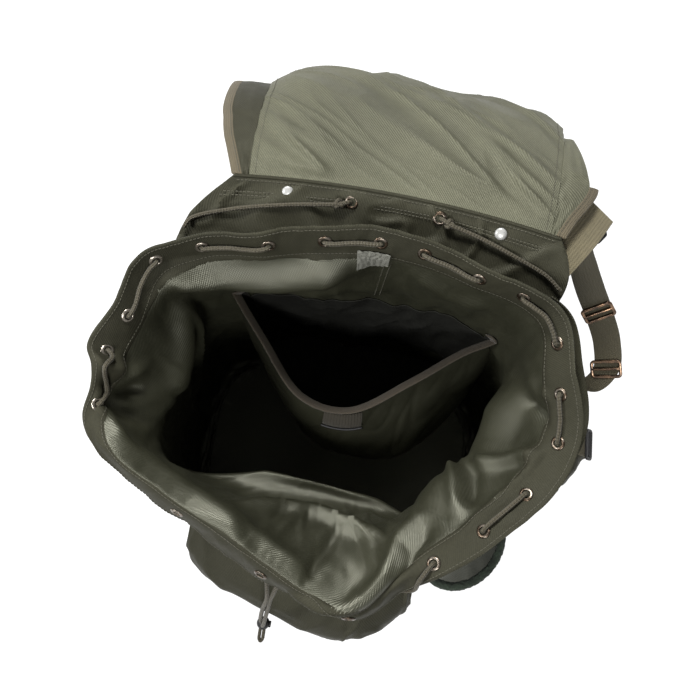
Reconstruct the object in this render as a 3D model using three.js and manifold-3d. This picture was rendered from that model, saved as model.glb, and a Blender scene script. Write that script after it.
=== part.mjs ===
// Field rucksack that stands open on its base, with its lid flipped back.
// Millimetres, +Z up. The origin is on the floor under the middle of the bag,
// the pockets in front face -Y and the wearer's back is towards +Y.

import * as THREE from 'three';
import { mergeVertices } from 'three/addons/utils/BufferGeometryUtils.js';
import Module from 'manifold-3d';

const wasm = await Module();
wasm.setup();

// Cloth, cord and webbing
const clothWall = 2;
const floorThick = 2.4;
const seamGap = 0.35;
const cordRadius = 2.2;
const tieCordRadius = 2;
const cordSides = 8;
const tape = { width: 9, thick: 3 };

// Grid of the bag's wall: columns round it, and rows in each span between two sections
const wallColumns = 36;
const wallSpans = [1, 2, 2, 2, 3, 3];

// Sections of the bag from the floor to the throat, with the reach of each side from the middle
const sections = [
  { z: 1.2, left: 156, right: 156, back: 106, front: 98, power: 3.6 }, // base
  { z: 16, left: 168, right: 168, back: 117, front: 108, power: 3.6 }, // heel
  { z: 105, left: 178, right: 178, back: 127, front: 104, power: 3.3 }, // low
  { z: 200, left: 174, right: 178, back: 132, front: 86, power: 3.4 }, // waist
  { z: 305, left: 164, right: 168, back: 138, front: 84, power: 3.6 }, // throat
];

// The collar's hem by bearing: its foot, then its free edge, which is rolled outwards in front
const hem = [
  { bearing: -171, footReach: 206, footZ: 404, edgeReach: 224, edgeZ: 406 },
  { bearing: -162, footReach: 198, footZ: 411, edgeReach: 212, edgeZ: 394 },
  { bearing: -148, footReach: 166, footZ: 402, edgeReach: 178, edgeZ: 372 },
  { bearing: -126, footReach: 140, footZ: 393, edgeReach: 155, edgeZ: 363 },
  { bearing: -105, footReach: 141, footZ: 386, edgeReach: 156, edgeZ: 356 },
  { bearing: -88, footReach: 155, footZ: 379, edgeReach: 170, edgeZ: 349 },
  { bearing: -73, footReach: 170, footZ: 376, edgeReach: 184, edgeZ: 347 },
  { bearing: -58, footReach: 153, footZ: 381, edgeReach: 170, edgeZ: 361 },
  { bearing: -44, footReach: 147, footZ: 385, edgeReach: 172, edgeZ: 391 },
  { bearing: -24, footReach: 160, footZ: 389, edgeReach: 188, edgeZ: 405 },
  { bearing: -9, footReach: 175, footZ: 392, edgeReach: 207, edgeZ: 414 },
  { bearing: 7, footReach: 192, footZ: 399, edgeReach: 223, edgeZ: 425 },
  { bearing: 22, footReach: 196, footZ: 411, edgeReach: 219, edgeZ: 439 },
  { bearing: 35, footReach: 206, footZ: 421, edgeReach: 222, edgeZ: 450 },
  { bearing: 55, footReach: 172, footZ: 426, edgeReach: 187, edgeZ: 455 },
  { bearing: 90, footReach: 150, footZ: 430, edgeReach: 168, edgeZ: 460 },
  { bearing: 121, footReach: 157, footZ: 428, edgeReach: 174, edgeZ: 458 },
  { bearing: 137, footReach: 186, footZ: 422, edgeReach: 200, edgeZ: 452 },
  { bearing: 149, footReach: 206, footZ: 416, edgeReach: 222, edgeZ: 446 },
  { bearing: 162, footReach: 196, footZ: 405, edgeReach: 220, edgeZ: 433 },
  { bearing: 173, footReach: 199, footZ: 399, edgeReach: 229, edgeZ: 423 },
  { bearing: 181, footReach: 198, footZ: 396, edgeReach: 218, edgeZ: 418 },
];

// Main dents and swells of the wall: where each lies, how far it spreads, and its push outwards
const dents = [
  { bearing: -104, spread: 46, z: 190, rise: 34, push: -46 }, // front buckle
  { bearing: -95, spread: 40, z: 330, rise: 26, push: -6 }, // front slump
  { bearing: -27, spread: 22, z: 322, rise: 44, push: -34 }, // right pleat
  { bearing: 12, spread: 14, z: 240, rise: 50, push: 8 }, // right swell
  { bearing: 176, spread: 24, z: 338, rise: 24, push: -12 }, // left crease
  { bearing: -160, spread: 18, z: 260, rise: 60, push: 7 }, // left swell
  { bearing: 108, spread: 32, z: 362, rise: 22, push: -15 }, // back roll
  { bearing: 60, spread: 24, z: 300, rise: 50, push: 5 }, // back swell
];

// Eyelets of the hem in the order in which the cord is laced, from in front round the right side
const eyeletBearings = [
  -75, -44, -26, -11, 4, 16, 28, 42, 53, 70, 84, 102, 120, 137, 148, 163, 173, 186, 220, 255,
];
const eyelet = { bore: 3.7, barrel: 4.6, flange: 6.6, flangeThick: 0.8, grip: 2.1, sides: 6, clearance: 6 };
const lace = { stand: 6.2, slackInside: 6.8, slackOutside: 6.4, spacing: 15 };

// The cord's two ends meet at a ball lock in front of the front pocket, and a small loop ends it
const lock = { x: -42, y: -204, z: 172, radius: 6.5, spread: 2.6 };
const laceEnds = {
  first: [[-38, -208, 200], [-30, -204, 230], [-8, -184, 276], [22, -174, 318]],
  last: [[-44, -160, 322], [-46, -176, 276], [-47, -203, 230], [-46, -208, 200]],
};
const lockLoop = { reach: 16, fall: 5, radius: 1.6, steps: 6 };
const lockLoopRows = [
  { aside: -2, out: 0, fall: 0 },
  { aside: -5, out: 0.55, fall: 0.6 },
  { aside: 0, out: 1, fall: 1 },
  { aside: 5, out: 0.55, fall: 0.6 },
  { aside: 2, out: 0, fall: 0 },
];

// The yoke behind the mouth leaves the collar and carries the lid at its far edge
const yoke = { bearingLeft: 147, bearingRight: 35, sink: 7, footZ: 402, thick: 2, depth: 62, swell: 19 };
const cornerPower = 5;
const hinge = { left: -126, right: 176, yLeft: 201, yRight: 193, bow: 11, z: 436 };
const studs = [
  { name: 'snap_stud_left', x: -71, back: 8 },
  { name: 'snap_stud_right', x: 125, back: 9 },
];
const stud = { radius: 5.6, height: 2.4, rimRadius: 5.2, rimHeight: 1.4, sides: 12 };
const ties = [
  { side: 'left', x: -12, back: 10, run: [-66, -104, -124], corner: [-163, 150, 424] },
  { side: 'right', x: 70, back: 10, run: [110, 142, 164], corner: [183, 150, 424] },
];
const tieRun = { knot: 5, aside: 6, lift: 1, steps: 8 };
const skirt = { bearings: [39, 1], sink: 16, footZ: 372, lift: 26, beyond: 13, swell: [0.3, 0.9] };

// The lid's fall behind the hinge: run backwards and height
const lidFall = [
  { run: 1.3, z: 436 },
  { run: 40, z: 430 },
  { run: 92, z: 405 },
  { run: 138, z: 361 },
  { run: 168, z: 300 },
  { run: 181, z: 235 },
  { run: 181, z: 178 },
];
const lid = { thick: 2, seamLeft: -112, seamRight: 166, spread: 14, seamGap: 0.7 };
const lidRound = { left: 0.12, right: 0.05, from: 0.5 };
// Boxed sides of the lid: place along the lid, and width of the cloth there
const wings = [
  {
    side: 'left', seam: 0, outwards: -1, tapeRows: 5,
    rows: [
      { t: 0, width: 6 }, { t: 0.12, width: 15 }, { t: 0.24, width: 24 }, { t: 0.36, width: 29 },
      { t: 0.52, width: 30 },
    ],
  },
  {
    side: 'right', seam: 1, outwards: 1, tapeRows: 4,
    rows: [
      { t: 0, width: 4 }, { t: 0.06, width: 14 }, { t: 0.12, width: 23 }, { t: 0.18, width: 26 },
      { t: 0.25, width: 22 }, { t: 0.34, width: 17 }, { t: 0.44, width: 9 },
    ],
  },
];
const wingDroop = { reach: 40, fall: 10 };

// The pocket on the back wall inside, by place across: its mouth's and its belly's distance forwards
const innerPocket = { mouthZ: 326, sag: 40, bellyZ: 170, footZ: 96, wallY: 150, thick: 1.6, tuck: 0.25 };
const pocketRows = [
  { x: -142, mouthY: 158, bellyY: 158 },
  { x: -122, mouthY: 127, bellyY: 116 },
  { x: -82, mouthY: 80, bellyY: 62 },
  { x: -36, mouthY: 33, bellyY: 22 },
  { x: 10, mouthY: 28, bellyY: 9 },
  { x: 66, mouthY: 66, bellyY: 10 },
  { x: 112, mouthY: 102, bellyY: 46 },
  { x: 146, mouthY: 122, bellyY: 104 },
  { x: 166, mouthY: 148, bellyY: 150 },
];
const lining = { bearingFrom: 50, bearingTo: 130, low: 5 / 12, high: 8 / 12, thick: 1 };
const bindingGap = 0.9;
const pocketTab = { across: [0.464, 0.562], down: [0.019, 0.062], thick: 2 };
const patchGap = 1;
const careTag = { bearingFrom: 80, bearingTo: 91, low: 0.815, high: 0.868, thick: 0.8 };

// Outer pockets in plan: place along the bag's side, and reach out from the bag's middle
const frontPlan = [
  { along: -133, out: 56 },
  { along: -132, out: 124 },
  { along: -121, out: 152 },
  { along: -44, out: 184 },
  { along: 38, out: 201 },
  { along: 60, out: 195 },
  { along: 94, out: 170 },
  { along: 108, out: 142 },
  { along: 111, out: 56 },
];
const sidePlan = [
  { along: -32, out: 146 },
  { along: -28, out: 216 },
  { along: -2, out: 243 },
  { along: 34, out: 260 },
  { along: 64, out: 246 },
  { along: 78, out: 208 },
  { along: 82, out: 146 },
];
const frontPocket = { bottom: 16, top: 204, root: 56 };
const sidePocket = { bottom: 34, top: 226, root: 146 };
const pocketGather = 0.05;
const flapOffset = 3;
const flapEnds = [0.19, 0.83];
const frontFlap = [
  { swell: 0, z: 250 },
  { swell: 0.5, z: 238 },
  { swell: 0.86, z: 226 },
  { swell: 0.985, z: 212 },
  { swell: 1, z: 188 },
  { swell: 1, z: 158 },
];
const sideFlap = [
  { swell: 0, z: 282 },
  { swell: 0.5, z: 262 },
  { swell: 0.86, z: 246 },
  { swell: 0.985, z: 233 },
  { swell: 1, z: 212 },
  { swell: 1, z: 186 },
];
const pouch = { x: 152, y: -86, along: 43, across: 33, turn: -33, bottom: 44, top: 208, heel: 14, sides: 16 };
const pouchFlap = { z: 213, dome: 8, shoulder: 16, shoulderRise: 6.4, thick: 2 };
const pouchEdge = { width: 9, thick: 7, reach: 150 };

// Pads and webbing: points of each middle line, with its sideways direction
const pad = { width: 52, thick: 8 };
const webbing = { width: 27, thick: 1.8 };
const shoulderStrap = [
  {
    size: pad, steps: 7,
    rows: [
      { at: [70, 168, 409.8], side: [1, 0, 0] },
      { at: [71, 190, 407], side: [1, 0, 0] },
      { at: [74, 207, 380], side: [1, 0, 0] },
      { at: [80, 212, 320], side: [0.99, 0, -0.1] },
      { at: [88, 208, 255], side: [0.98, -0.05, -0.15] },
      { at: [98, 196, 205], side: [0.97, -0.1, -0.2] },
    ],
  },
  {
    size: webbing, steps: 5,
    rows: [
      { at: [96, 199, 216], side: [0.97, -0.1, -0.2] },
      { at: [112, 178, 140], side: [0.95, -0.2, -0.2] },
      { at: [126, 146, 84], side: [0.94, -0.25, -0.25] },
      { at: [132, 104, 52], side: [0.94, -0.25, -0.25] },
    ],
  },
];
const sideStraps = [
  {
    name: 'side_strap_top', steps: 6,
    rows: [
      { at: [164, 152, 412.8], side: [0.82, -0.57, -0.175] },
      { at: [178, 172, 422.8], side: [0.82, -0.57, -0.175] },
      { at: [199, 206, 416], side: [0.82, -0.57, 0] },
      { at: [215, 237, 402], side: [0.82, -0.57, -0.1] },
    ],
  },
  {
    name: 'side_strap_long', steps: 16,
    rows: [
      { at: [191, 204, 430], side: [0.98, 0.1, 0.1] },
      { at: [197, 200, 400], side: [0.98, 0.1, 0.1] },
      { at: [210, 193, 368], side: [0.98, 0.1, 0.1] },
      { at: [226, 180, 334], side: [0.9, 0.3, 0.25] },
      { at: [245, 165, 299], side: [0.8, 0.4, 0.4] },
      { at: [262, 143, 272], side: [0.85, 0.3, 0.4] },
      { at: [268, 118, 256], side: [0.9, 0.1, 0.4] },
      { at: [254, 100, 244], side: [0.8, -0.3, 0.5] },
      { at: [226, 106, 228], side: [0.5, -0.6, 0.6] },
      { at: [166, 104, 210], side: [0.1, -0.7, 0.7] },
    ],
  },
];

// Flat buckles that lie on a strap: place along it, length and look
const buckles = [
  { name: 'side_strap_lock', strap: 'side_strap_top', at: 0.82, long: 20, look: 'plastic' },
  { name: 'side_strap_slide', strap: 'side_strap_long', at: 0.43, long: 22, look: 'metal' },
  { name: 'side_strap_ring', strap: 'side_strap_long', at: 0.66, long: 20, look: 'metal' },
];
const buckle = { wide: 33, bar: 3.6, thick: 2.6, windowWide: 27, gap: 0.6 };
const sideLoop = { across: [0.44, 0.6], down: [0.3, 0.86], gap: 0.65 };
const triglide = { long: 16, at: 0.5 };
const ringTab = { bearing: -147, v: 0.55, long: 24, width: 12, thick: 1.8 };
const ring = { wide: 17, long: 13, bar: 2.6, thick: 2.4, windowWide: 11.8 };

const colours = {
  cloth: 0x4b4a39, lining: 0x101112, webbing: 0x6b6142, tape: 0x8b7a58, cord: 0x4e4a34,
  metal: 0x5a5046, plastic: 0x161616, stud: 0xd6d6d2, grey: 0x5f625c, pile: 0x1e2a1f, tag: 0xc9c8c0,
};

const rucksack = new THREE.Group();

function material(colour, roughness, metalness = 0) {
  return new THREE.MeshStandardMaterial({ color: colours[colour], roughness, metalness });
}

const cloth = material('cloth', 0.55);
const webCloth = material('webbing', 0.8);
const tapeCloth = material('tape', 0.8);
const cordCloth = material('cord', 0.7);
const darkMetal = material('metal', 0.4, 0.9);
const blackPlastic = material('plastic', 0.45);

function addMesh(name, geometry, look) {
  const mesh = new THREE.Mesh(geometry, look);
  mesh.name = name;
  rucksack.add(mesh);
  return mesh;
}

// Small geometry helpers

const mix = THREE.MathUtils.lerp;

function vec(x, y, z) {
  return new THREE.Vector3(x, y, z);
}

// Shares equal corners, drops flat triangles and turns the faces outwards.
function closeUp(geometry) {
  const bare = new THREE.BufferGeometry();
  bare.setAttribute('position', geometry.getAttribute('position'));
  bare.setIndex(geometry.getIndex());
  const merged = mergeVertices(bare, 1e-4);
  const from = merged.getIndex().array;
  const place = merged.getAttribute('position');
  const kept = [];
  let volume = 0;
  const [a, b, c] = [vec(), vec(), vec()];
  for (let i = 0; i < from.length; i += 3) {
    const [p, q, r] = [from[i], from[i + 1], from[i + 2]];
    if (p === q || q === r || r === p) continue;
    kept.push(p, q, r);
    a.fromBufferAttribute(place, p);
    b.fromBufferAttribute(place, q);
    c.fromBufferAttribute(place, r);
    volume += a.dot(b.cross(c));
  }
  if (volume < 0) kept.reverse();
  merged.setIndex(kept);
  return merged;
}

function toSolid(geometry) {
  const merged = closeUp(geometry);
  const vertProperties = new Float32Array(merged.getAttribute('position').array);
  const triVerts = new Uint32Array(merged.getIndex().array);
  return new wasm.Manifold(new wasm.Mesh({ numProp: 3, vertProperties, triVerts }));
}

function toGeometry(solid) {
  const mesh = solid.getMesh();
  const geometry = new THREE.BufferGeometry();
  geometry.setAttribute('position', new THREE.BufferAttribute(new Float32Array(mesh.vertProperties), 3));
  geometry.setIndex([...mesh.triVerts]);
  return geometry;
}

function largestPiece(solid) {
  const pieces = solid.decompose();
  return pieces.reduce((best, piece) => (piece.volume() > best.volume() ? piece : best));
}

// A closed skin over rings of points, with a fan from a centre at the first and the last ring.
function closedLoft(rings, firstCentre, lastCentre) {
  const count = rings[0].length;
  const points = rings.flat();
  const index = [];
  for (let i = 0; i + 1 < rings.length; i++) {
    for (let j = 0; j < count; j++) {
      const next = (j + 1) % count;
      const [a, b, c, d] = [i * count + j, i * count + next, (i + 1) * count + next, (i + 1) * count + j];
      index.push(a, b, c, a, c, d);
    }
  }
  const first = points.push(firstCentre) - 1;
  const last = points.push(lastCentre) - 1;
  const top = (rings.length - 1) * count;
  for (let j = 0; j < count; j++) {
    const next = (j + 1) % count;
    index.push(first, next, j, last, top + j, top + next);
  }
  const geometry = new THREE.BufferGeometry().setFromPoints(points);
  geometry.setIndex(index);
  return closeUp(geometry);
}

// Direction that a surface place(s, t) faces, from small steps across and along it.
function facing(place, s, t) {
  const step = 0.004;
  const across = place(Math.min(1, s + step), t).sub(place(Math.max(0, s - step), t));
  const along = place(s, Math.min(1, t + step)).sub(place(s, Math.max(0, t - step)));
  return across.cross(along).normalize();
}

// A sheet of cloth: the surface place(s, t) with half its thickness on each side.
function sheet(place, acrossSteps, alongSteps, thick) {
  const points = [];
  for (const half of [thick / 2, -thick / 2]) {
    for (let i = 0; i <= alongSteps; i++) {
      for (let j = 0; j <= acrossSteps; j++) {
        const [s, t] = [j / acrossSteps, i / alongSteps];
        points.push(place(s, t).addScaledVector(facing(place, s, t), half));
      }
    }
  }
  const rowSize = acrossSteps + 1;
  const under = rowSize * (alongSteps + 1);
  const index = [];
  const quad = (a, b, c, d) => index.push(a, b, c, a, c, d);
  for (let i = 0; i < alongSteps; i++) {
    for (let j = 0; j < acrossSteps; j++) {
      const [a, b] = [i * rowSize + j, i * rowSize + j + 1];
      const [c, d] = [b + rowSize, a + rowSize];
      quad(a, b, c, d);
      quad(under + d, under + c, under + b, under + a);
    }
    const left = i * rowSize;
    const right = left + acrossSteps;
    quad(left, left + rowSize, under + left + rowSize, under + left);
    quad(right + rowSize, right, under + right, under + right + rowSize);
  }
  const end = alongSteps * rowSize;
  for (let j = 0; j < acrossSteps; j++) {
    quad(j + 1, j, under + j, under + j + 1);
    quad(end + j, end + j + 1, under + end + j + 1, under + end + j);
  }
  const geometry = new THREE.BufferGeometry().setFromPoints(points);
  geometry.setIndex(index);
  return closeUp(geometry);
}

// A smooth line that is stepped evenly from point to point, so that tight bends keep their points.
class Route extends THREE.CatmullRomCurve3 {
  getUtoTmapping(u) {
    return u;
  }
}

function roundShape(radius, sides) {
  const points = [];
  for (let i = 0; i < sides; i++) {
    const angle = (i / sides) * 2 * Math.PI;
    points.push(new THREE.Vector2(radius * Math.cos(angle), radius * Math.sin(angle)));
  }
  return new THREE.Shape(points);
}

function cordAlong(points, radius, steps) {
  const path = new Route(points);
  return closeUp(new THREE.ExtrudeGeometry(roundShape(radius, cordSides), { steps, extrudePath: path }));
}

function rowCurve(rows, read) {
  return new THREE.CatmullRomCurve3(rows.map(read));
}

// Turns a lathed piece, whose axis is Y, so that the axis points along a direction at a point.
function standOn(point, direction) {
  const turn = new THREE.Quaternion().setFromUnitVectors(vec(0, 1, 0), direction);
  return new THREE.Matrix4().compose(point, turn, vec(1, 1, 1));
}

// The bag's wall

const profiles = new Map();

function wrapBearing(bearing) {
  const start = hem[0].bearing;
  return THREE.MathUtils.euclideanModulo(bearing - start, 360) + start;
}

// Smooth closed reading of one column of the hem's table at a bearing.
function readHem(bearing, column) {
  const count = hem.length;
  const found = hem.findIndex((row) => row.bearing > bearing);
  const at = found < 0 ? count : found;
  const [a, b, c, d] = [at - 2, at - 1, at, at + 1].map((i) => {
    const lap = Math.floor(i / count);
    const row = hem[i - lap * count];
    return { bearing: row.bearing + lap * 360, value: row[column] };
  });
  const span = c.bearing - b.bearing;
  const t = (bearing - b.bearing) / span;
  const leave = ((c.value - a.value) / (c.bearing - a.bearing)) * span;
  const reach = ((d.value - b.value) / (d.bearing - b.bearing)) * span;
  const ease = t * t * (3 - 2 * t);
  return mix(b.value, c.value, ease) + t * (1 - t) * ((1 - t) * leave - t * reach);
}

function atBearing(bearing, reach, z) {
  const angle = THREE.MathUtils.degToRad(bearing);
  return vec(reach * Math.cos(angle), reach * Math.sin(angle), z);
}

// Rounded rectangle with its own reach on each side.
function sectionReach(section, bearing) {
  const angle = THREE.MathUtils.degToRad(bearing);
  const x = Math.cos(angle) / (Math.cos(angle) < 0 ? section.left : section.right);
  const y = Math.sin(angle) / (Math.sin(angle) < 0 ? section.front : section.back);
  return (Math.abs(x) ** section.power + Math.abs(y) ** section.power) ** (-1 / section.power);
}

function wallProfile(bearing) {
  if (!profiles.has(bearing)) {
    const points = sections.map((row) => atBearing(bearing, sectionReach(row, bearing), row.z));
    points.push(atBearing(bearing, readHem(bearing, 'footReach'), readHem(bearing, 'footZ')));
    points.push(atBearing(bearing, readHem(bearing, 'edgeReach'), readHem(bearing, 'edgeZ')));
    profiles.set(bearing, new THREE.CatmullRomCurve3(points));
  }
  return profiles.get(bearing);
}

// Middle of the wall's cloth at a bearing, from the base's edge at v = 0 to the hem's edge at v = 1.
function wallPoint(anyBearing, v) {
  const bearing = wrapBearing(anyBearing);
  const point = wallProfile(bearing).getPoint(v);
  let push = 0;
  for (const dent of dents) {
    const turn = THREE.MathUtils.euclideanModulo(bearing - dent.bearing + 180, 360) - 180;
    push += dent.push * Math.exp(-((turn / dent.spread) ** 2) - ((point.z - dent.z) / dent.rise) ** 2);
  }
  return point.add(atBearing(bearing, push, 0));
}

function wallFacing(bearing, v) {
  const step = 0.6;
  const rise = 0.005;
  const round = wallPoint(bearing + step, v).sub(wallPoint(bearing - step, v));
  const up = wallPoint(bearing, Math.min(1, v + rise)).sub(wallPoint(bearing, Math.max(0, v - rise)));
  return round.cross(up).normalize();
}

function besideWall(bearing, v, outwards) {
  return wallPoint(bearing, v).addScaledVector(wallFacing(bearing, v), outwards);
}

// The bag as one skin: up the outside, over the hem's edge, down the inside and across the floor.
function bagGeometry(half, lowZ, floorZ) {
  const rows = [0];
  wallSpans.forEach((count, span) => {
    for (let i = 1; i <= count; i++) rows.push((span + i / count) / wallSpans.length);
  });
  const ring = (v, outwards) => {
    const points = [];
    for (let i = 0; i < wallColumns; i++) points.push(besideWall((i * 360) / wallColumns, v, outwards));
    return points;
  };
  const outside = rows.map((v) => ring(v, half));
  const inside = rows.map((v) => ring(v, -half)).reverse();
  outside[0].forEach((point) => point.setZ(lowZ));
  inside.at(-1).forEach((point) => point.setZ(floorZ));
  return closedLoft([...outside, ...inside], vec(0, 0, lowZ), vec(0, 0, floorZ));
}

const hemMiddle = 1 - 0.5 / wallSpans.length;
const bagBody = toSolid(bagGeometry(clothWall / 2, 0, floorThick));
const bagClear = toSolid(bagGeometry(clothWall / 2 + seamGap, -seamGap, floorThick + seamGap));

// Trims a sewn-on piece where it meets what carries it, and keeps its main part.
function sewnOn(geometry, ...carriers) {
  let trimmed = toSolid(geometry);
  for (const carrier of [bagClear, ...carriers]) trimmed = trimmed.subtract(carrier);
  return toGeometry(largestPiece(trimmed));
}

// Eyelets and the laced cord

function latheClosed(rows, sides) {
  const points = rows.map(([radius, y]) => new THREE.Vector2(radius, y));
  return closeUp(new THREE.LatheGeometry(points, sides));
}

function eyeletGeometry() {
  const { bore, barrel, flange, flangeThick, grip, sides } = eyelet;
  const high = grip + flangeThick;
  const back = [[bore, -high], [flange, -grip], [barrel, -grip]];
  const front = [[barrel, grip], [flange, grip], [bore, high]];
  return latheClosed([...back, ...front, back[0]], sides);
}

// Hole for an eyelet's barrel, and the room that its flanges take up on both faces of the cloth.
function eyeletHole() {
  const [radius, far] = [eyelet.barrel + seamGap, eyelet.grip + eyelet.clearance];
  return latheClosed([[0, -far], [radius, -far], [radius, far], [0, far]], eyelet.sides);
}

function flangeRoom(face) {
  const radius = eyelet.flange + seamGap;
  const [near, far] = [eyelet.grip - seamGap, eyelet.grip + eyelet.clearance];
  return latheClosed([[0, near], [radius, near], [radius, far], [0, far]], eyelet.sides).scale(1, face, 1);
}

function cutEyelet(solid, seat) {
  let cut = solid.subtract(toSolid(eyeletHole().applyMatrix4(seat)));
  for (const face of [1, -1]) {
    const room = toSolid(flangeRoom(face).applyMatrix4(seat));
    if (cut.intersect(room).volume() > 0) cut = cut.subtract(room);
  }
  return cut;
}

function addEyelet(name, seat) {
  const mesh = addMesh(name, eyeletGeometry(), darkMetal);
  mesh.applyMatrix4(seat);
}

let bagWithHoles = bagBody;
eyeletBearings.forEach((bearing, i) => {
  const seat = standOn(wallPoint(bearing, hemMiddle), wallFacing(bearing, hemMiddle));
  bagWithHoles = cutEyelet(bagWithHoles, seat);
  addEyelet(`rim_eyelet_${String(i + 1).padStart(2, '0')}`, seat);
});
addMesh('bag_shell', toGeometry(largestPiece(bagWithHoles)), cloth);

// The lace goes through each eyelet along its axis, and lies beside the hem in between.
function lacePoints() {
  const points = [];
  eyeletBearings.forEach((bearing, i) => {
    const side = i % 2 === 0 ? 1 : -1;
    for (const stand of [lace.stand, -lace.stand]) points.push(besideWall(bearing, hemMiddle, side * stand));
    const next = eyeletBearings[i + 1] ?? bearing;
    const stops = Math.round((next - bearing) / lace.spacing);
    for (let k = 1; k <= Math.max(stops, 1) && next !== bearing; k++) {
      const between = mix(bearing, next, k / (Math.max(stops, 1) + 1));
      points.push(besideWall(between, hemMiddle, side > 0 ? -lace.slackInside : lace.slackOutside));
    }
  });
  return points;
}

const lockTop = Math.sqrt(lock.radius ** 2 - lock.spread ** 2) + seamGap;
const laceRoute = [
  vec(lock.x + lock.spread, lock.y, lock.z + lockTop),
  ...laceEnds.first.map((point) => vec(...point)),
  ...lacePoints(),
  ...laceEnds.last.map((point) => vec(...point)),
  vec(lock.x - lock.spread, lock.y, lock.z + lockTop),
];
addMesh('drawstring', cordAlong(laceRoute, cordRadius, laceRoute.length - 1), cordCloth);

// Small loop of cord in front of the lock: out on one side, back on the other.
const loopStart = lock.y - lock.radius + lockLoop.radius;
const loopRoute = lockLoopRows.map(({ aside, out, fall }) => {
  return vec(lock.x + aside, loopStart - out * lockLoop.reach, lock.z - fall * lockLoop.fall);
});
const lockBall = new THREE.SphereGeometry(lock.radius, 10, 6).translate(lock.x, lock.y, lock.z);
const lockBody = toSolid(lockBall).add(toSolid(cordAlong(loopRoute, lockLoop.radius, lockLoop.steps)));
addMesh('cord_lock', toGeometry(lockBody), blackPlastic);

// The yoke, its studs, its eyelets and its ties

function hingePoint(s) {
  const bow = hinge.bow * 4 * s * (1 - s);
  return vec(mix(hinge.left, hinge.right, s), mix(hinge.yLeft, hinge.yRight, s) + bow, hinge.z);
}

function yokePoint(s, t) {
  const bearing = mix(yoke.bearingLeft, yoke.bearingRight, s);
  const foot = atBearing(bearing, readHem(bearing, 'footReach') - yoke.sink, yoke.footZ);
  const u = 2 * s - 1;
  const swell = yoke.swell * Math.sign(u) * Math.abs(u) ** cornerPower * Math.sin(Math.PI * t);
  return foot.lerp(hingePoint(s), t).add(vec(swell, 0, 0));
}

// Seat on the yoke's upper face for a place x at the hinge, a distance in front of it.
function yokeSeat(x, back, rise) {
  const s = (x - hinge.left) / (hinge.right - hinge.left);
  const t = 1 - back / yoke.depth;
  const up = facing(yokePoint, s, t);
  if (up.z < 0) up.negate();
  return { point: yokePoint(s, t).addScaledVector(up, rise), up };
}

// Upper edge of the bag's right side, which shows past the collar.
function skirtPoint(s, t) {
  const bearing = mix(...skirt.bearings, s);
  const foot = atBearing(bearing, readHem(bearing, 'footReach') - skirt.sink, skirt.footZ);
  const edgeZ = readHem(bearing, 'edgeZ') - skirt.lift;
  const width = skirt.beyond * Math.sin(Math.PI * mix(...skirt.swell, s));
  return foot.lerp(atBearing(bearing, readHem(bearing, 'edgeReach') + width, edgeZ), t);
}

const yokeClear = toSolid(sheet(yokePoint, 10, 2, yoke.thick + 2 * seamGap));
let yokeBody = toSolid(sheet(yokePoint, 10, 2, yoke.thick)).add(toSolid(sheet(skirtPoint, 6, 1, clothWall)));
yokeBody = yokeBody.subtract(bagClear);
for (const tie of ties) {
  const { point, up } = yokeSeat(tie.x, tie.back, 0);
  yokeBody = cutEyelet(yokeBody, standOn(point, up));
  addEyelet(`band_eyelet_${tie.side}`, standOn(point, up));
}
addMesh('back_yoke', toGeometry(largestPiece(yokeBody)), cloth);

for (const { name, x, back } of studs) {
  const { point, up } = yokeSeat(x, back, yoke.thick / 2 + seamGap);
  const rows = [[0, 0], [stud.radius, 0], [stud.rimRadius, stud.rimHeight], [0, stud.height]];
  addMesh(name, latheClosed(rows, stud.sides), material('stud', 0.35, 0.2)).applyMatrix4(standOn(point, up));
}

// Each tie starts in a knot on its eyelet and runs along the yoke to the corner of the mouth.
for (const tie of ties) {
  const flangeTop = eyelet.grip + eyelet.flangeThick + seamGap;
  const knot = yokeSeat(tie.x, tie.back, flangeTop + tieRun.knot).point;
  const lay = yoke.thick / 2 + seamGap + tieCordRadius + tieRun.lift;
  const run = tie.run.map((x, i) => yokeSeat(x, tie.back + tieRun.aside * (i + 1), lay).point);
  const cord = toSolid(cordAlong([knot, ...run, vec(...tie.corner)], tieCordRadius, tieRun.steps));
  const ball = new THREE.SphereGeometry(tieRun.knot, 7, 5).translate(knot.x, knot.y, knot.z);
  addMesh(`tie_cord_${tie.side}`, toGeometry(cord.add(toSolid(ball))), cordCloth);
}

// The lid, its boxed sides and their tape

const lidCurve = rowCurve(lidFall, (row) => vec(0, row.run, row.z));

// Lid surface from seam to seam, with its two far corners rounded down.
function lidPoint(s, t) {
  const fall = lidCurve.getPoint(t);
  const across = mix(lid.seamLeft - lid.spread * t, lid.seamRight + lid.spread * t, s);
  const hingeS = (across - hinge.left) / (hinge.right - hinge.left);
  const u = 2 * s - 1;
  const corner = (u < 0 ? lidRound.left : lidRound.right) * Math.abs(u) ** cornerPower;
  const round = corner * Math.min(1, t / lidRound.from);
  return vec(across, hingePoint(hingeS).y + fall.y * (1 - round), fall.z);
}

addMesh('lid_panel', sheet(lidPoint, 8, 7, lid.thick), cloth);

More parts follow.
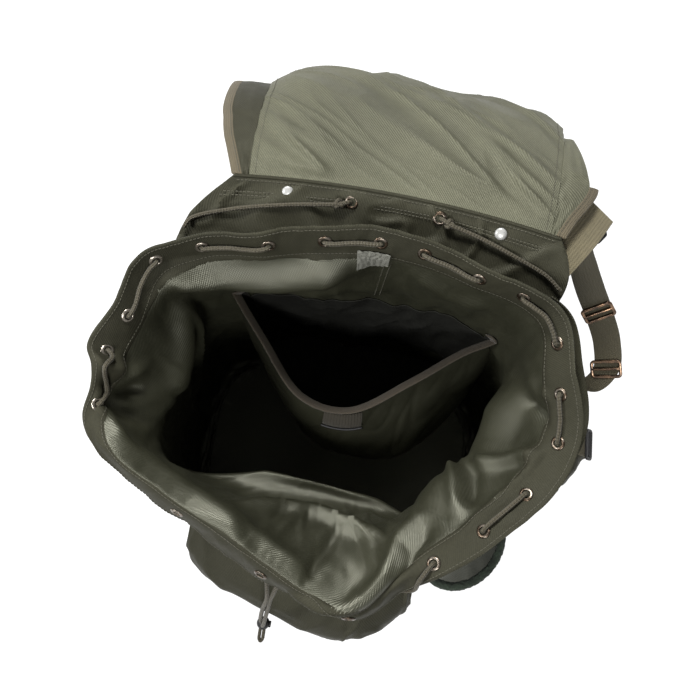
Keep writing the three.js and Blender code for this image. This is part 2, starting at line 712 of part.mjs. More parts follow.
for (const { side, seam, outwards, tapeRows, rows } of wings) {
  const tapePart = (tapeRows - 1) / (rows.length - 1);
  const edge = rowCurve(rows, (row) => vec(row.t, row.width, 0));
  const beside = (t, out) => {
    const droop = wingDroop.fall * (out / wingDroop.reach) ** 2;
    return lidPoint(seam, t).add(vec(outwards * (lid.seamGap + out), 0, -droop));
  };
  const wingPlace = (a, along) => {
    const { x: t, y: width } = edge.getPoint(along);
    return beside(t, a * width);
  };
  const tapePlace = (a, along) => {
    const { x: t, y: width } = edge.getPoint(along * tapePart);
    return beside(t, width + seamGap + a * tape.width);
  };
  addMesh(`lid_wing_${side}`, sheet(wingPlace, 2, 8, lid.thick), cloth);
  addMesh(`lid_binding_${side}`, sheet(tapePlace, 1, 8, tape.thick), tapeCloth);
}

// The inner pocket

const pocketMouth = rowCurve(pocketRows, (row) => vec(row.x, row.mouthY, 0));
const pocketBelly = rowCurve(pocketRows, (row) => vec(row.x, row.bellyY, 0));

// Panel of the pocket: hung from the back wall at both ends, gaping forwards in the middle.
function pocketPanel(s, t) {
  const { mouthZ, sag, bellyZ, footZ, wallY, tuck } = innerPocket;
  const mouth = pocketMouth.getPoint(s).setZ(mouthZ - sag * Math.sin(Math.PI * s) ** 2);
  const belly = pocketBelly.getPoint(s).setZ(bellyZ);
  const bend = vec(belly.x, mix(belly.y, wallY, tuck), mix(footZ, bellyZ, tuck));
  const foot = vec(belly.x, wallY, footZ);
  return new THREE.CatmullRomCurve3([mouth, belly, bend, foot]).getPoint(t);
}

addMesh('inner_pocket', sewnOn(sheet(pocketPanel, 11, 5, innerPocket.thick)), cloth);

const bindingPlace = (a, t) => pocketPanel(t, 0).add(vec(0, 0, bindingGap + a * tape.width));
addMesh('inner_pocket_binding', sewnOn(sheet(bindingPlace, 1, 16, tape.thick)), tapeCloth);

// A patch of cloth that lies along the inside of the bag's wall.
function wallPatch({ bearingFrom, bearingTo, low, high, thick }, acrossSteps, alongSteps) {
  const depth = clothWall / 2 + patchGap + thick / 2;
  const place = (s, t) => besideWall(mix(bearingFrom, bearingTo, s), mix(low, high, t), -depth);
  return sheet(place, acrossSteps, alongSteps, thick);
}

addMesh('inner_pocket_lining', wallPatch(lining, 8, 3), material('lining', 0.9));
addMesh('care_tag', wallPatch(careTag, 2, 1), material('tag', 0.6));

const tabPlace = (s, t) => {
  const [across, down] = [mix(...pocketTab.across, s), mix(...pocketTab.down, t)];
  const off = (innerPocket.thick + pocketTab.thick) / 2 + seamGap;
  return pocketPanel(across, down).add(facing(pocketPanel, across, down).multiplyScalar(off));
};
addMesh('inner_pocket_tab', sheet(tabPlace, 2, 2, pocketTab.thick), webCloth);

// Outer pockets

// Point of a pocket's plan, moved outwards square to it.
function planPoint(curve, s, offset) {
  const along = curve.getTangent(s);
  return curve.getPoint(s).add(vec(-along.y, along.x, 0).multiplyScalar(offset));
}

// Swell of a pocket from its closed bottom to its mouth.
function pocketSwell(t) {
  return Math.sqrt(1 - (1 - t) ** 3) * (1 - pocketGather * t ** 3);
}

function pocketPlace(plan, size, turn) {
  const curve = rowCurve(plan, (row) => vec(row.along, row.out, 0));
  return (s, t) => {
    const { x, y } = planPoint(curve, s, 0);
    return turn(x, mix(size.root, y, pocketSwell(t)), mix(size.bottom, size.top, t));
  };
}

function flapPlace(plan, size, fall, turn) {
  const curve = rowCurve(plan, (row) => vec(row.along, row.out, 0));
  const drop = rowCurve(fall, (row) => vec(row.swell, row.z, 0));
  return (s, t) => {
    const { x, y } = planPoint(curve, mix(...flapEnds, s), flapOffset);
    const { x: swell, y: z } = drop.getPoint(t);
    return turn(x, mix(size.root, y, swell), z);
  };
}

const toFront = (along, out, z) => vec(along, -out, z);
const toRight = (along, out, z) => vec(out, along, z);
const frontFlapPlace = flapPlace(frontPlan, frontPocket, frontFlap, toFront);
const sideFlapPlace = flapPlace(sidePlan, sidePocket, sideFlap, toRight);
addMesh('front_pocket', sewnOn(sheet(pocketPlace(frontPlan, frontPocket, toFront), 11, 5, clothWall)), cloth);
addMesh('front_pocket_flap', sewnOn(sheet(frontFlapPlace, 9, 5, clothWall)), cloth);
addMesh('side_pocket', sewnOn(sheet(pocketPlace(sidePlan, sidePocket, toRight), 9, 5, clothWall)), cloth);
addMesh('side_pocket_flap', sewnOn(sheet(sideFlapPlace, 7, 5, clothWall)), cloth);

// Round pouch at the right front corner: cup, domed flap and the thick edge round the flap.

const pouchOut = THREE.MathUtils.degToRad(pouch.turn);

// Oval of the pouch, larger by a margin, at an angle from its outermost point.
function pouchPoint(angle, margin, z) {
  const out = (pouch.across + margin) * Math.cos(angle);
  const along = (pouch.along + margin) * Math.sin(angle);
  const x = pouch.x + out * Math.cos(pouchOut) - along * Math.sin(pouchOut);
  const y = pouch.y + out * Math.sin(pouchOut) + along * Math.cos(pouchOut);
  return vec(x, y, z);
}

function pouchRing(margin, z) {
  const points = [];
  for (let i = 0; i < pouch.sides; i++) points.push(pouchPoint((i / pouch.sides) * 2 * Math.PI, margin, z));
  return points;
}

const cup = [
  pouchRing(-pouch.heel, pouch.bottom),
  pouchRing(0, pouch.bottom + pouch.heel),
  pouchRing(0, pouch.top),
  pouchRing(-clothWall, pouch.top),
  pouchRing(-clothWall, pouch.bottom + pouch.heel),
  pouchRing(-clothWall / 2 - pouch.heel, pouch.bottom + clothWall),
];
const cupMiddle = (z) => vec(pouch.x, pouch.y, z);
const cupBody = closedLoft(cup, cupMiddle(pouch.bottom), cupMiddle(pouch.bottom + clothWall));
addMesh('round_pouch', sewnOn(cupBody), cloth);

const flapTop = pouchFlap.thick;
const flapRing = (inset, rise) => pouchRing(-inset, pouchFlap.z + rise);
const flapRings = [
  flapRing(pouchFlap.shoulder, pouchFlap.shoulderRise),
  flapRing(seamGap, 0),
  flapRing(seamGap, flapTop),
  flapRing(pouchFlap.shoulder, pouchFlap.shoulderRise + flapTop),
];
const flapMiddle = pouchFlap.z + pouchFlap.dome;
const flapBody = closedLoft(flapRings, cupMiddle(flapMiddle), cupMiddle(flapMiddle + flapTop));
addMesh('round_pouch_flap', sewnOn(flapBody), material('grey', 0.5));

const edgePlace = (a, t) => {
  const angle = THREE.MathUtils.degToRad(mix(-pouchEdge.reach, pouchEdge.reach, t));
  return pouchPoint(angle, seamGap + a * pouchEdge.width, pouchFlap.z + flapTop / 2);
};
addMesh('round_pouch_edge', sewnOn(sheet(edgePlace, 1, 14, pouchEdge.thick)), material('pile', 0.95));

// Straps and the flat buckles that lie on them

// Surface of a strap: its middle line, widened along its sideways direction.
function strapPlace(rows, width, mirror) {
  const middle = rowCurve(rows, (row) => vec(...row.at));
  const sideways = rowCurve(rows, (row) => vec(...row.side));
  return (s, t) => {
    const side = sideways.getPoint(t).normalize();
    const point = middle.getPoint(t).addScaledVector(side, (s - 0.5) * width);
    return point.setX(mirror * point.x);
  };
}

for (const [side, mirror] of [['left', -1], ['right', 1]]) {
  const [padPart, webPart] = shoulderStrap.map(({ size, steps, rows }) => {
    return toSolid(sheet(strapPlace(rows, size.width, mirror), 2, steps, size.thick));
  });
  addMesh(`shoulder_strap_${side}`, sewnOn(toGeometry(padPart.add(webPart))), cloth);
}

// The first side strap lies under the yoke's corner, and the next one hangs from it.
const strapPlaces = {};
const carriers = [yokeClear];
for (const { name, rows, steps } of sideStraps) {
  strapPlaces[name] = strapPlace(rows, webbing.width, 1);
  addMesh(name, sewnOn(sheet(strapPlaces[name], 1, steps, webbing.thick), ...carriers), webCloth);
  const widePlace = strapPlace(rows, 2 * webbing.width, 1);
  carriers.push(toSolid(sheet(widePlace, 1, steps, webbing.thick + 2 * seamGap)));
}

// Rectangular frame, its window across the strap, centred on its back face.
function frameGeometry({ wide, long, bar, thick, windowWide }) {
  const corners = (x, y) => [[-x, -y], [x, -y], [x, y], [-x, y]].map((pair) => new THREE.Vector2(...pair));
  const outline = new THREE.Shape(corners(wide / 2, long / 2));
  outline.holes.push(new THREE.Path(corners(windowWide / 2, long / 2 - bar).reverse()));
  return closeUp(new THREE.ExtrudeGeometry(outline, { depth: thick, bevelEnabled: false }));
}

// Lays a frame on the middle of a strap: its width runs across, and it stands off the cloth.
function layOn(mesh, place, t, face, standOff) {
  const up = facing(place, 0.5, t).multiplyScalar(face);
  const across = place(1, t).sub(place(0, t)).normalize();
  const along = up.clone().cross(across).normalize();
  const point = place(0.5, t).addScaledVector(up, standOff);
  mesh.applyMatrix4(new THREE.Matrix4().makeBasis(across, along, up).setPosition(point));
}

for (const { name, strap, at, long, look } of buckles) {
  const mesh = addMesh(name, frameGeometry({ ...buckle, long }), look === 'metal' ? darkMetal : blackPlastic);
  layOn(mesh, strapPlaces[strap], at, 1, webbing.thick / 2 + buckle.gap);
}

// Webbing loop with its slide on the side pocket's flap
const loopStand = (clothWall + webbing.thick) / 2 + sideLoop.gap;
const loopPlace = (a, t) => {
  const [s, down] = [mix(...sideLoop.across, a), mix(...sideLoop.down, t)];
  const out = facing(sideFlapPlace, s, down);
  if (out.x < 0) out.negate();
  return sideFlapPlace(s, down).addScaledVector(out, loopStand);
};
addMesh('side_loop', sheet(loopPlace, 2, 6, webbing.thick), webCloth);
const slide = addMesh('side_triglide', frameGeometry({ ...buckle, long: triglide.long }), blackPlastic);
layOn(slide, loopPlace, triglide.at, -1, webbing.thick / 2);

// Small metal ring on a tab at the left front
const tabFoot = wallPoint(ringTab.bearing, ringTab.v);
const tabOut = atBearing(ringTab.bearing, 1, 0);
const ringTabPlace = (a, t) => {
  const side = vec(-tabOut.y, tabOut.x, 0).multiplyScalar((a - 0.5) * ringTab.width);
  return tabFoot.clone().addScaledVector(tabOut, t * ringTab.long).add(side);
};
addMesh('left_ring_tab', sewnOn(sheet(ringTabPlace, 1, 3, ringTab.thick)), webCloth);
const ringMesh = addMesh('left_ring', frameGeometry(ring), darkMetal);
ringMesh.rotation.z = THREE.MathUtils.degToRad(ringTab.bearing - 90);
ringMesh.position.copy(tabFoot).addScaledVector(tabOut, ringTab.long + ring.long / 2 + seamGap);
ringMesh.position.z -= ring.thick / 2;

export default rucksack;
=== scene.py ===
import math

import bpy
import numpy as np
from mathutils import Matrix, Vector


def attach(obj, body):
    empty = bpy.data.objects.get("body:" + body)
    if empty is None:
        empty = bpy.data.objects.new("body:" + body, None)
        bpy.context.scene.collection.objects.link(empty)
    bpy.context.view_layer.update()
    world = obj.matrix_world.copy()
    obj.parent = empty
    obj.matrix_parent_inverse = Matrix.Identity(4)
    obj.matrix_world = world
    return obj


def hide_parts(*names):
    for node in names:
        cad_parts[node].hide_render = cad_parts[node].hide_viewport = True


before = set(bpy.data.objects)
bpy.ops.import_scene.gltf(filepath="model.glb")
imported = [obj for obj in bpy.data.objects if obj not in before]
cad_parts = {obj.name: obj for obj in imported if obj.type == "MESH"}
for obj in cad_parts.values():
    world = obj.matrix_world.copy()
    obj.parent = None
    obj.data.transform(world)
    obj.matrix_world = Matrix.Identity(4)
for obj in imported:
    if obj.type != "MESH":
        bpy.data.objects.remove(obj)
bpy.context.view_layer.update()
mm = 0.001
seamGap = 0.35  # between pieces that lie on each other
upwards = np.array([0.0, 0.0, 1.0])
print("frame loaded")

# Camera at the photograph's angle: nearly overhead, turned a little

cameraSet = {
    "place": (0.0359, -0.1070, 1.4030), "angle": 35.0, "right": (0.98481, 0.17365, 0.0),
    "up": (-0.17101, 0.96985, 0.17365), "back": (0.03015, -0.17101, 0.98481),
}


def link(thing):
    bpy.context.scene.collection.objects.link(thing)
    return thing


def addCamera():
    data = bpy.data.cameras.new("camera")
    data.angle = math.radians(cameraSet["angle"])
    camera = link(bpy.data.objects.new("camera", data))
    turn = Matrix([cameraSet[key] for key in ("right", "up", "back")]).transposed().to_4x4()
    camera.matrix_world = Matrix.Translation(cameraSet["place"]) @ turn
    bpy.context.scene.camera = camera


addCamera()

# Small numpy tools


def unit(v):
    return v / np.maximum(np.linalg.norm(v, axis=-1, keepdims=True), 1e-12)


def mix(a, b, t):
    return a + (b - a) * t


def smooth(t):
    t = np.clip(t, 0, 1)
    return t * t * (3 - 2 * t)


def together(a, b):
    return np.broadcast_arrays(np.asarray(a, float), np.asarray(b, float))


def pointAt(x, y, z):
    return np.stack(np.broadcast_arrays(x, y, z), axis=-1)


def fullTurn(count):
    return np.linspace(0, 2 * np.pi, count, endpoint=False)


# Smooth rise from 0 to 1 over a span
def over(span, v):
    return smooth((v - span[0]) / (span[1] - span[0]))


# Signed turn in degrees from one bearing to another
def turnFrom(middle, bearing):
    return (bearing - middle + 180) % 360 - 180


# Grids of places: across and along a sheet, or all round the bag and up it
def places(cols, rows, s0=0.0, s1=1.0, t0=0.0, t1=1.0):
    return np.meshgrid(np.linspace(s0, s1, cols), np.linspace(t0, t1, rows))


def ringPlaces(cols, rows, t0, t1):
    return np.meshgrid(np.linspace(0, 360, cols, endpoint=False), np.linspace(t0, t1, rows))


# Centripetal spline through K points of N lines at once: uniform steps from point to point
def splineAt(points, t):
    count = len(points)
    full = np.concatenate([2 * points[:1] - points[1:2], points, 2 * points[-1:] - points[-2:-1]])
    place = np.clip(t, 0, 1) * (count - 1)
    k = np.minimum(place.astype(int), count - 2)
    w = (place - k)[:, None]
    n = np.arange(points.shape[1])
    p0, p1, p2, p3 = (full[k + j, n] for j in range(4))
    pairs = ((p0, p1), (p1, p2), (p2, p3))
    gaps = [np.maximum(np.linalg.norm(b - a, axis=1, keepdims=True), 1e-9) for a, b in pairs]
    d0, d1, d2 = np.sqrt(gaps)
    leave = ((p1 - p0) / d0 - (p2 - p0) / (d0 + d1) + (p2 - p1) / d1) * d1
    reach = ((p2 - p1) / d1 - (p3 - p1) / (d1 + d2) + (p3 - p2) / d2) * d1
    w2, w3 = w * w, w * w * w
    return (2 * w3 - 3 * w2 + 1) * p1 + (w3 - 2 * w2 + w) * leave + (3 * w2 - 2 * w3) * p2 + (w3 - w2) * reach


# Reader of one smooth line through table rows, for any array of places from 0 to 1
def lineThrough(rows):
    points = np.asarray(rows, float)

    def at(t):
        t = np.asarray(t, float)
        flat = t.ravel()
        many = np.broadcast_to(points[:, None, :], (len(points), flat.size, points.shape[1]))
        return splineAt(many, flat).reshape(t.shape + (points.shape[1],))

    return at


# Distance run along a line at each of its points, and rows read at such distances
def runAlong(line):
    return np.concatenate([[0], np.cumsum(np.linalg.norm(np.diff(line, axis=0), axis=1))])


def readAlong(at, run, rows):
    return np.stack([np.interp(at, run, column) for column in rows.T], -1)


# Line with even steps along its length
def evenLine(rows, count):
    fine = lineThrough(rows)(np.linspace(0, 1, 40 * len(rows)))
    run = runAlong(fine)
    return readAlong(np.linspace(0, run[-1], count), run, fine)


def gridQuads(rows, cols, closed=False):
    i, j = np.meshgrid(np.arange(rows - 1), np.arange(cols if closed else cols - 1), indexing="ij")
    nxt = (j + 1) % cols
    low, high = i * cols, (i + 1) * cols
    return np.stack([low + j, low + nxt, high + nxt, high + j], -1).reshape(-1, 4)


# Gradient noise on a lattice of seeded directions; wrap repeats it across after that many cells
noiseOrder = np.random.RandomState(11).permutation(256)
noiseTurn = np.random.RandomState(12).rand(256) * 2 * np.pi


def noise(x, y, wrap=0):
    ix, iy = np.floor(x).astype(int), np.floor(y).astype(int)
    fx, fy = x - ix, y - iy
    ex, ey = fx**3 * (fx * (fx * 6 - 15) + 10), fy**3 * (fy * (fy * 6 - 15) + 10)

    def corner(dx, dy):
        cx = (ix + dx) % wrap if wrap else ix + dx
        turn = noiseTurn[noiseOrder[(noiseOrder[cx & 255] + iy + dy) & 255]]
        return np.cos(turn) * (fx - dx) + np.sin(turn) * (fy - dy)

    low = mix(corner(0, 0), corner(1, 0), ex)
    high = mix(corner(0, 1), corner(1, 1), ex)
    return mix(low, high, ey) * 1.5


# Creased cloth: ridges where warped noise crosses zero, from 0 between them to 1 on the crest
def creases(x, y, sharp=3.0):
    wx = x + 0.7 * noise(x * 0.55 + 7.3, y * 0.55 + 1.9)
    wy = y + 0.7 * noise(x * 0.55 - 4.1, y * 0.55 + 8.7)
    return np.clip(1 - sharp * np.abs(noise(wx, wy)), 0, 1) ** 1.5


# Creases about their mean level
def ridges(x, y):
    return creases(x, y) - 0.3


# The bag's wall, from the base's edge (v = 0) to the hem's edge (v = 1)

sectionRows = [  # z, left, right, back, front, power
    (1.2, 156, 156, 106, 98, 3.6),
    (16, 168, 168, 117, 108, 3.6),
    (105, 178, 178, 127, 104, 3.3),
    (200, 174, 178, 132, 86, 3.4),
    (305, 164, 168, 138, 84, 3.6),
]
hemRows = np.array([  # bearing, foot reach, foot z, edge reach, edge z
    (-171, 206, 404, 224, 406), (-162, 198, 411, 212, 394), (-148, 166, 402, 178, 372),
    (-126, 140, 393, 155, 363), (-105, 141, 386, 156, 356), (-88, 155, 379, 170, 349),
    (-73, 170, 376, 184, 347), (-58, 153, 381, 170, 361), (-44, 147, 385, 172, 391),
    (-24, 160, 389, 188, 405), (-9, 175, 392, 207, 414), (7, 192, 399, 223, 425),
    (22, 196, 411, 219, 439), (35, 206, 421, 222, 450), (55, 172, 426, 187, 455),
    (90, 150, 430, 168, 460), (121, 157, 428, 174, 458), (137, 186, 422, 200, 452),
    (149, 206, 416, 222, 446), (162, 196, 405, 220, 433), (173, 199, 399, 229, 423),
    (181, 198, 396, 218, 418),
], float)
dentRows = [  # bearing, spread, z, rise, push outwards
    (-104, 46, 190, 34, -36), (-95, 40, 330, 26, -6), (-27, 22, 322, 44, -34), (12, 14, 240, 50, 8),
    (176, 24, 338, 24, -12), (-160, 18, 260, 60, 7), (108, 32, 362, 22, -15), (60, 24, 300, 50, 5),
]
hemMiddle = 1 - 0.5 / 6


# Periodic cubic reading of one column of the hem's table, with slopes from the neighbouring rows
def readHem(bearing, column):
    start, count = hemRows[:, 0], len(hemRows)
    b = (np.asarray(bearing, float) - start[0]) % 360 + start[0]
    at = np.searchsorted(start, b, side="right")
    around = []
    for i in (at - 2, at - 1, at, at + 1):
        lap = i // count
        around.append((start[i - lap * count] + lap * 360, hemRows[i - lap * count, column]))
    (ba, va), (bb, vb), (bc, vc), (bd, vd) = around
    span = bc - bb
    t = (b - bb) / span
    leave = (vc - va) / (bc - ba) * span
    reach = (vd - vb) / (bd - bb) * span
    return mix(vb, vc, t * t * (3 - 2 * t)) + t * (1 - t) * ((1 - t) * leave - t * reach)


def atBearing(bearing, reach, z):
    turn = np.radians(bearing)
    reach = np.asarray(reach, float)
    return pointAt(reach * np.cos(turn), reach * np.sin(turn), z)


# Wall point: a spline up through the five sections and the hem's two rows, then the dents
def plainWall(bearing, v):
    bearing, v = together(bearing, v)
    b, w = bearing.ravel(), v.ravel()
    cos, sin = np.cos(np.radians(b)), np.sin(np.radians(b))
    points = []
    for z, left, right, back, front, power in sectionRows:
        x = cos / np.where(cos < 0, left, right)
        y = sin / np.where(sin < 0, front, back)
        points.append(atBearing(b, (np.abs(x) ** power + np.abs(y) ** power) ** (-1 / power), z))
    points += [atBearing(b, readHem(b, k), readHem(b, k + 1)) for k in (1, 3)]
    p = splineAt(np.array(points), w)
    push = np.zeros(len(b))
    for middle, spread, z, rise, out in dentRows:
        push += out * np.exp(-((turnFrom(middle, b) / spread) ** 2) - ((p[:, 2] - z) / rise) ** 2)
    return (p + atBearing(b, push, 0)).reshape(bearing.shape + (3,))


def facingFrom(place, bearing, v):
    around = place(bearing + 0.6, v) - place(bearing - 0.6, v)
    up = place(bearing, np.minimum(1, v + 0.005)) - place(bearing, np.maximum(0, v - 0.005))
    return unit(np.cross(around, up))


foldRows = [  # push inwards, half width, then the fold's line as bearing and v
    (26, 13, [  # roll below the back hem
        (154, 0.822), (144, 0.811), (138, 0.802), (129, 0.796), (118, 0.791), (106, 0.798), (92, 0.805),
    ]),
    (-4, 6, [(148, 0.835), (139, 0.825), (130, 0.82), (120, 0.82), (108, 0.825)]),
    (12, 12, [(150, 0.77), (156, 0.735), (166, 0.70), (178, 0.70)]),  # left pleat
    (13, 7, [(150, 0.74), (155, 0.66), (161, 0.50), (168, 0.36)]),
    (11, 7, [(170, 0.60), (176, 0.45), (180, 0.30)]),
    (13, 7, [(177, 1.0), (177, 0.93), (176, 0.84)]),  # notch and the recess beside it
    (-13, 8, [(182, 0.93), (182, 0.87), (181, 0.81), (178, 0.77)]),
    (7, 6, [(184, 0.95), (182, 0.85), (179, 0.81), (172, 0.78)]),  # left lobes
    (6, 6, [(186, 0.91), (189, 0.82), (197, 0.79)]),
    (-6, 6, [(184, 0.92), (186, 0.83), (189, 0.75)]),
    (12, 12, [(195, 0.80), (203, 0.765), (220, 0.775), (243, 0.82)]),  # front left roll
    (11, 7, [  # lip over the front shelf
        (226, 0.735), (236, 0.71), (250, 0.69), (269, 0.68), (292, 0.695), (304, 0.72),
    ]),
    (7, 8, [(226, 0.76), (244, 0.785), (263, 0.79), (271, 0.79)]),  # front folds
    (-6, 7, [(271, 0.80), (273, 0.765), (281, 0.72)]),
    (9, 8, [(268, 0.91), (279, 0.85), (288, 0.82), (299, 0.81), (309, 0.77), (322, 0.75)]),
    (-6, 7, [(286, 0.87), (294, 0.86), (304, 0.85), (312, 0.81), (324, 0.79)]),
    (26, 24, [(384, 0.71), (374, 0.70), (364, 0.69), (354, 0.70), (340, 0.72), (328, 0.75)]),  # right side
    (-4, 6, [(388, 0.73), (380, 0.79), (373, 0.85)]),
    (-8, 6, [(377, 0.78), (372, 0.82), (370, 0.85)]),
    (5, 6, [(383, 0.78), (377, 0.81), (376, 0.85)]),
    (11, 7, [(352, 0.71), (356, 0.76), (360, 0.81), (360, 0.86)]),
    (-10, 7, [(356, 0.71), (346, 0.75), (338, 0.79)]),
    (9, 7, [(346, 0.70), (340, 0.76), (333, 0.80)]),
    (5, 6, [(360, 0.87), (352, 0.85), (346, 0.84), (332, 0.85)]),
    (6, 8, [(70, 0.80), (58, 0.77), (46, 0.78)]),  # back right
]
clothScale = np.array([2.95, 430.0])  # millimetres of cloth per degree and per v
foldEnds = (0.12, 0.3)  # start of the fade past a fold's end, and its length, as shares of the fold


# Push of the listed folds: each a smooth ridge about its line, fading towards both its ends
def foldPush(bearing, v):
    total, (past, length) = np.zeros(np.shape(bearing)), foldEnds
    for push, width, line in foldRows:
        points = np.array(line, float)
        middle = points[:, 0].mean()
        b = (bearing - middle + 180) % 360 + middle - 180
        at = np.stack([b, v], -1) * clothScale
        points = points * clothScale
        steps = np.linalg.norm(np.diff(points, axis=0), axis=1)
        run = np.concatenate([[0], np.cumsum(steps)]) / steps.sum()
        best, share = np.full(b.shape, np.inf), np.zeros(b.shape)
        for i, step in enumerate(steps):
            along = np.clip(((at - points[i]) @ (points[i + 1] - points[i])) / step**2, 0, 1)
            away = np.linalg.norm(at - points[i] - along[..., None] * (points[i + 1] - points[i]), axis=-1)
            nearer = away < best
            best = np.where(nearer, away, best)
            share = np.where(nearer, mix(run[i], run[i + 1], along), share)
        fade = smooth((share + past) / length) * smooth((1 + past - share) / length)
        total += push * fade * np.exp(-((best / width) ** 2))
    return total


rimWave = {"cells": 22, "from": 0.80, "push": 5.0, "lift": 3.0}
shelfRise = {
    "bearing": 266, "spread": 68, "fade": 20, "at": 0.505, "deep": 0.075, "wide": 0.046, "rise": 45,
    "crest": 50.5, "normal": (-0.0767, -0.997), "calmAt": 0.5, "calmDeep": 0.09,
}


# Share of the front shelf at a place on the wall, for keeping its cloth smooth
def shelfShare(bearing, v):
    turn = turnFrom(shelfRise["bearing"], bearing)
    high = (v - shelfRise["calmAt"]) / shelfRise["calmDeep"]
    return smooth(2 * np.exp(-((turn / shelfRise["spread"]) ** 2) - high**2))


# Wall with its listed folds and a wavy rim; the front shelf is drawn to a crest, straight in plan, and raised
def wallPoint(bearing, v):
    bearing, v = together(bearing, v)
    cells, start = rimWave["cells"], rimWave["from"]
    around, high = (bearing % 360) / 360 * cells, smooth((v - start) / (1 - start))
    wave = rimWave["push"] * noise(around, np.full(v.shape, 3.3), cells) * high
    p = plainWall(bearing, v) + facingFrom(plainWall, bearing, v) * (wave - foldPush(bearing, v))[..., None]
    p[..., 2] += rimWave["lift"] * noise(around, np.full(v.shape, 7.7), cells) * high
    turn = turnFrom(shelfRise["bearing"], bearing)
    angle, reach = np.radians(bearing), np.hypot(p[..., 0], p[..., 1])
    ahead = np.cos(angle) * shelfRise["normal"][0] + np.sin(angle) * shelfRise["normal"][1]
    near = np.exp(-(((v - shelfRise["at"]) / shelfRise["deep"]) ** 2))
    near = near * smooth((shelfRise["spread"] - np.abs(turn)) / shelfRise["fade"])
    crest = np.minimum(shelfRise["crest"] / np.maximum(ahead, 0.2), reach)
    p[..., :2] *= mix(1.0, crest / reach, near)[..., None]
    rise = np.exp(-((turn / shelfRise["spread"]) ** 4) - ((v - shelfRise["at"]) / shelfRise["wide"]) ** 2)
    p[..., 2] += shelfRise["rise"] * rise
    return p


def wallFacing(bearing, v):
    return facingFrom(wallPoint, bearing, v)


# Wall cloth: settled by simulation, then fine crinkles and crisp creases
wallFolds = {
    "columns": 200, "rows": 84, "top": 0.86, "frames": 26, "gravity": 0.25, "cap": 6.0, "hold": 0.02,
    "seed": 1.6, "seedCells": 36, "crinkle": 0.35, "crinkleCells": 90, "crisp": 2.8, "crispCells": 24,
    "crispSharp": 2.4, "footSpan": 0.05, "firmSpan": (0.76, 0.83), "calmSpan": (0.69, 0.76),
    "plainSpan": (0.71, 0.80), "holdSteps": 25,
    "cloth": {
        "quality": 5, "mass": 0.12, "tension_stiffness": 18.0, "compression_stiffness": 18.0,
        "shear_stiffness": 6.0, "bending_stiffness": 2.5, "air_damping": 3.0, "shrink_min": -0.035,
    },
}


# Cloth settled by simulation: its rest lengths are longer than the form, and it is held softly to the
# form, so it buckles into folds; returns the moved grid
def settle(grid, hold, look):
    scene, (rows, cols) = bpy.context.scene, grid.shape[:2]
    mesh = bpy.data.meshes.new("settle")
    mesh.from_pydata((grid.reshape(-1, 3) * mm).tolist(), [], gridQuads(rows, cols, True).tolist())
    cloth = link(bpy.data.objects.new("settle", mesh))
    group = cloth.vertex_groups.new(name="hold")
    levels = np.round(hold.ravel() * look["holdSteps"]) / look["holdSteps"]
    for level in np.unique(levels):
        group.add(np.nonzero(levels == level)[0].tolist(), float(level), "REPLACE")
    modifier = cloth.modifiers.new("settle", "CLOTH")
    for key, value in look["cloth"].items():
        setattr(modifier.settings, key, value)
    modifier.settings.vertex_group_mass = "hold"
    modifier.settings.effector_weights.gravity = look["gravity"]
    modifier.collision_settings.use_collision = False
    modifier.point_cache.frame_end = look["frames"]
    for step in range(1, look["frames"] + 1):
        scene.frame_set(step)
    moved = cloth.evaluated_get(bpy.context.evaluated_depsgraph_get()).data
    place = np.empty(rows * cols * 3, np.float32)
    moved.vertices.foreach_get("co", place)
    bpy.data.objects.remove(cloth)
    bpy.data.meshes.remove(mesh)
    scene.frame_set(1)
    shift = place.reshape(grid.shape) / mm - grid
    size = np.linalg.norm(shift, axis=2, keepdims=True)
    return grid + shift * (look["cap"] * np.tanh(size / look["cap"]) / np.maximum(size, 1e-9))


# Table of the wall cloth's movement from the plain form, by bearing and v
def wallFoldTable():
    b, v = ringPlaces(wallFolds["columns"], wallFolds["rows"], 0, wallFolds["top"])
    form, cells = wallPoint(b, v), wallFolds["seedCells"]
    start = noise(b / 360 * cells, v * 14.0, cells) + 0.6 * noise(b / 360 * cells * 2, v * 26.0, cells * 2)
    firm = np.maximum(1 - smooth(v / wallFolds["footSpan"]), over(wallFolds["firmSpan"], v))
    seeded = form + wallFacing(b, v) * (wallFolds["seed"] * start * (1 - firm))[..., None]
    calm = 1 - 0.9 * np.maximum(smooth(np.abs(foldPush(b, v)) / 12), shelfShare(b, v))
    calm = calm * (1 - 0.6 * over(wallFolds["calmSpan"], v))
    return (settle(seeded, np.maximum(firm, wallFolds["hold"]), wallFolds) - form) * calm[..., None]


foldTable = wallFoldTable()
print("wall folds settled, furthest", round(float(np.linalg.norm(foldTable, axis=2).max()), 1))


# Smooth reading of the fold table: cubic between its rows and columns
def readFolds(bearing, v):
    rows, cols = foldTable.shape[:2]
    x = (bearing % 360) / 360 * cols
    y = np.clip(v / wallFolds["top"], 0, 1) * (rows - 1)
    i, j = np.floor(y).astype(int), np.floor(x).astype(int)
    fy, fx = (y - i)[..., None], (x - j)[..., None]

    def cubic(a, b, c, d, t):
        return b + 0.5 * t * (c - a + t * (2 * a - 5 * b + 4 * c - d + t * (3 * (b - c) + d - a)))

    lines = []
    for k in (-1, 0, 1, 2):
        row = np.clip(i + k, 0, rows - 1)
        four = [foldTable[row, (j + m) % cols] for m in (-1, 0, 1, 2)]
        lines.append(cubic(*four, fx))
    return cubic(*lines, fy)


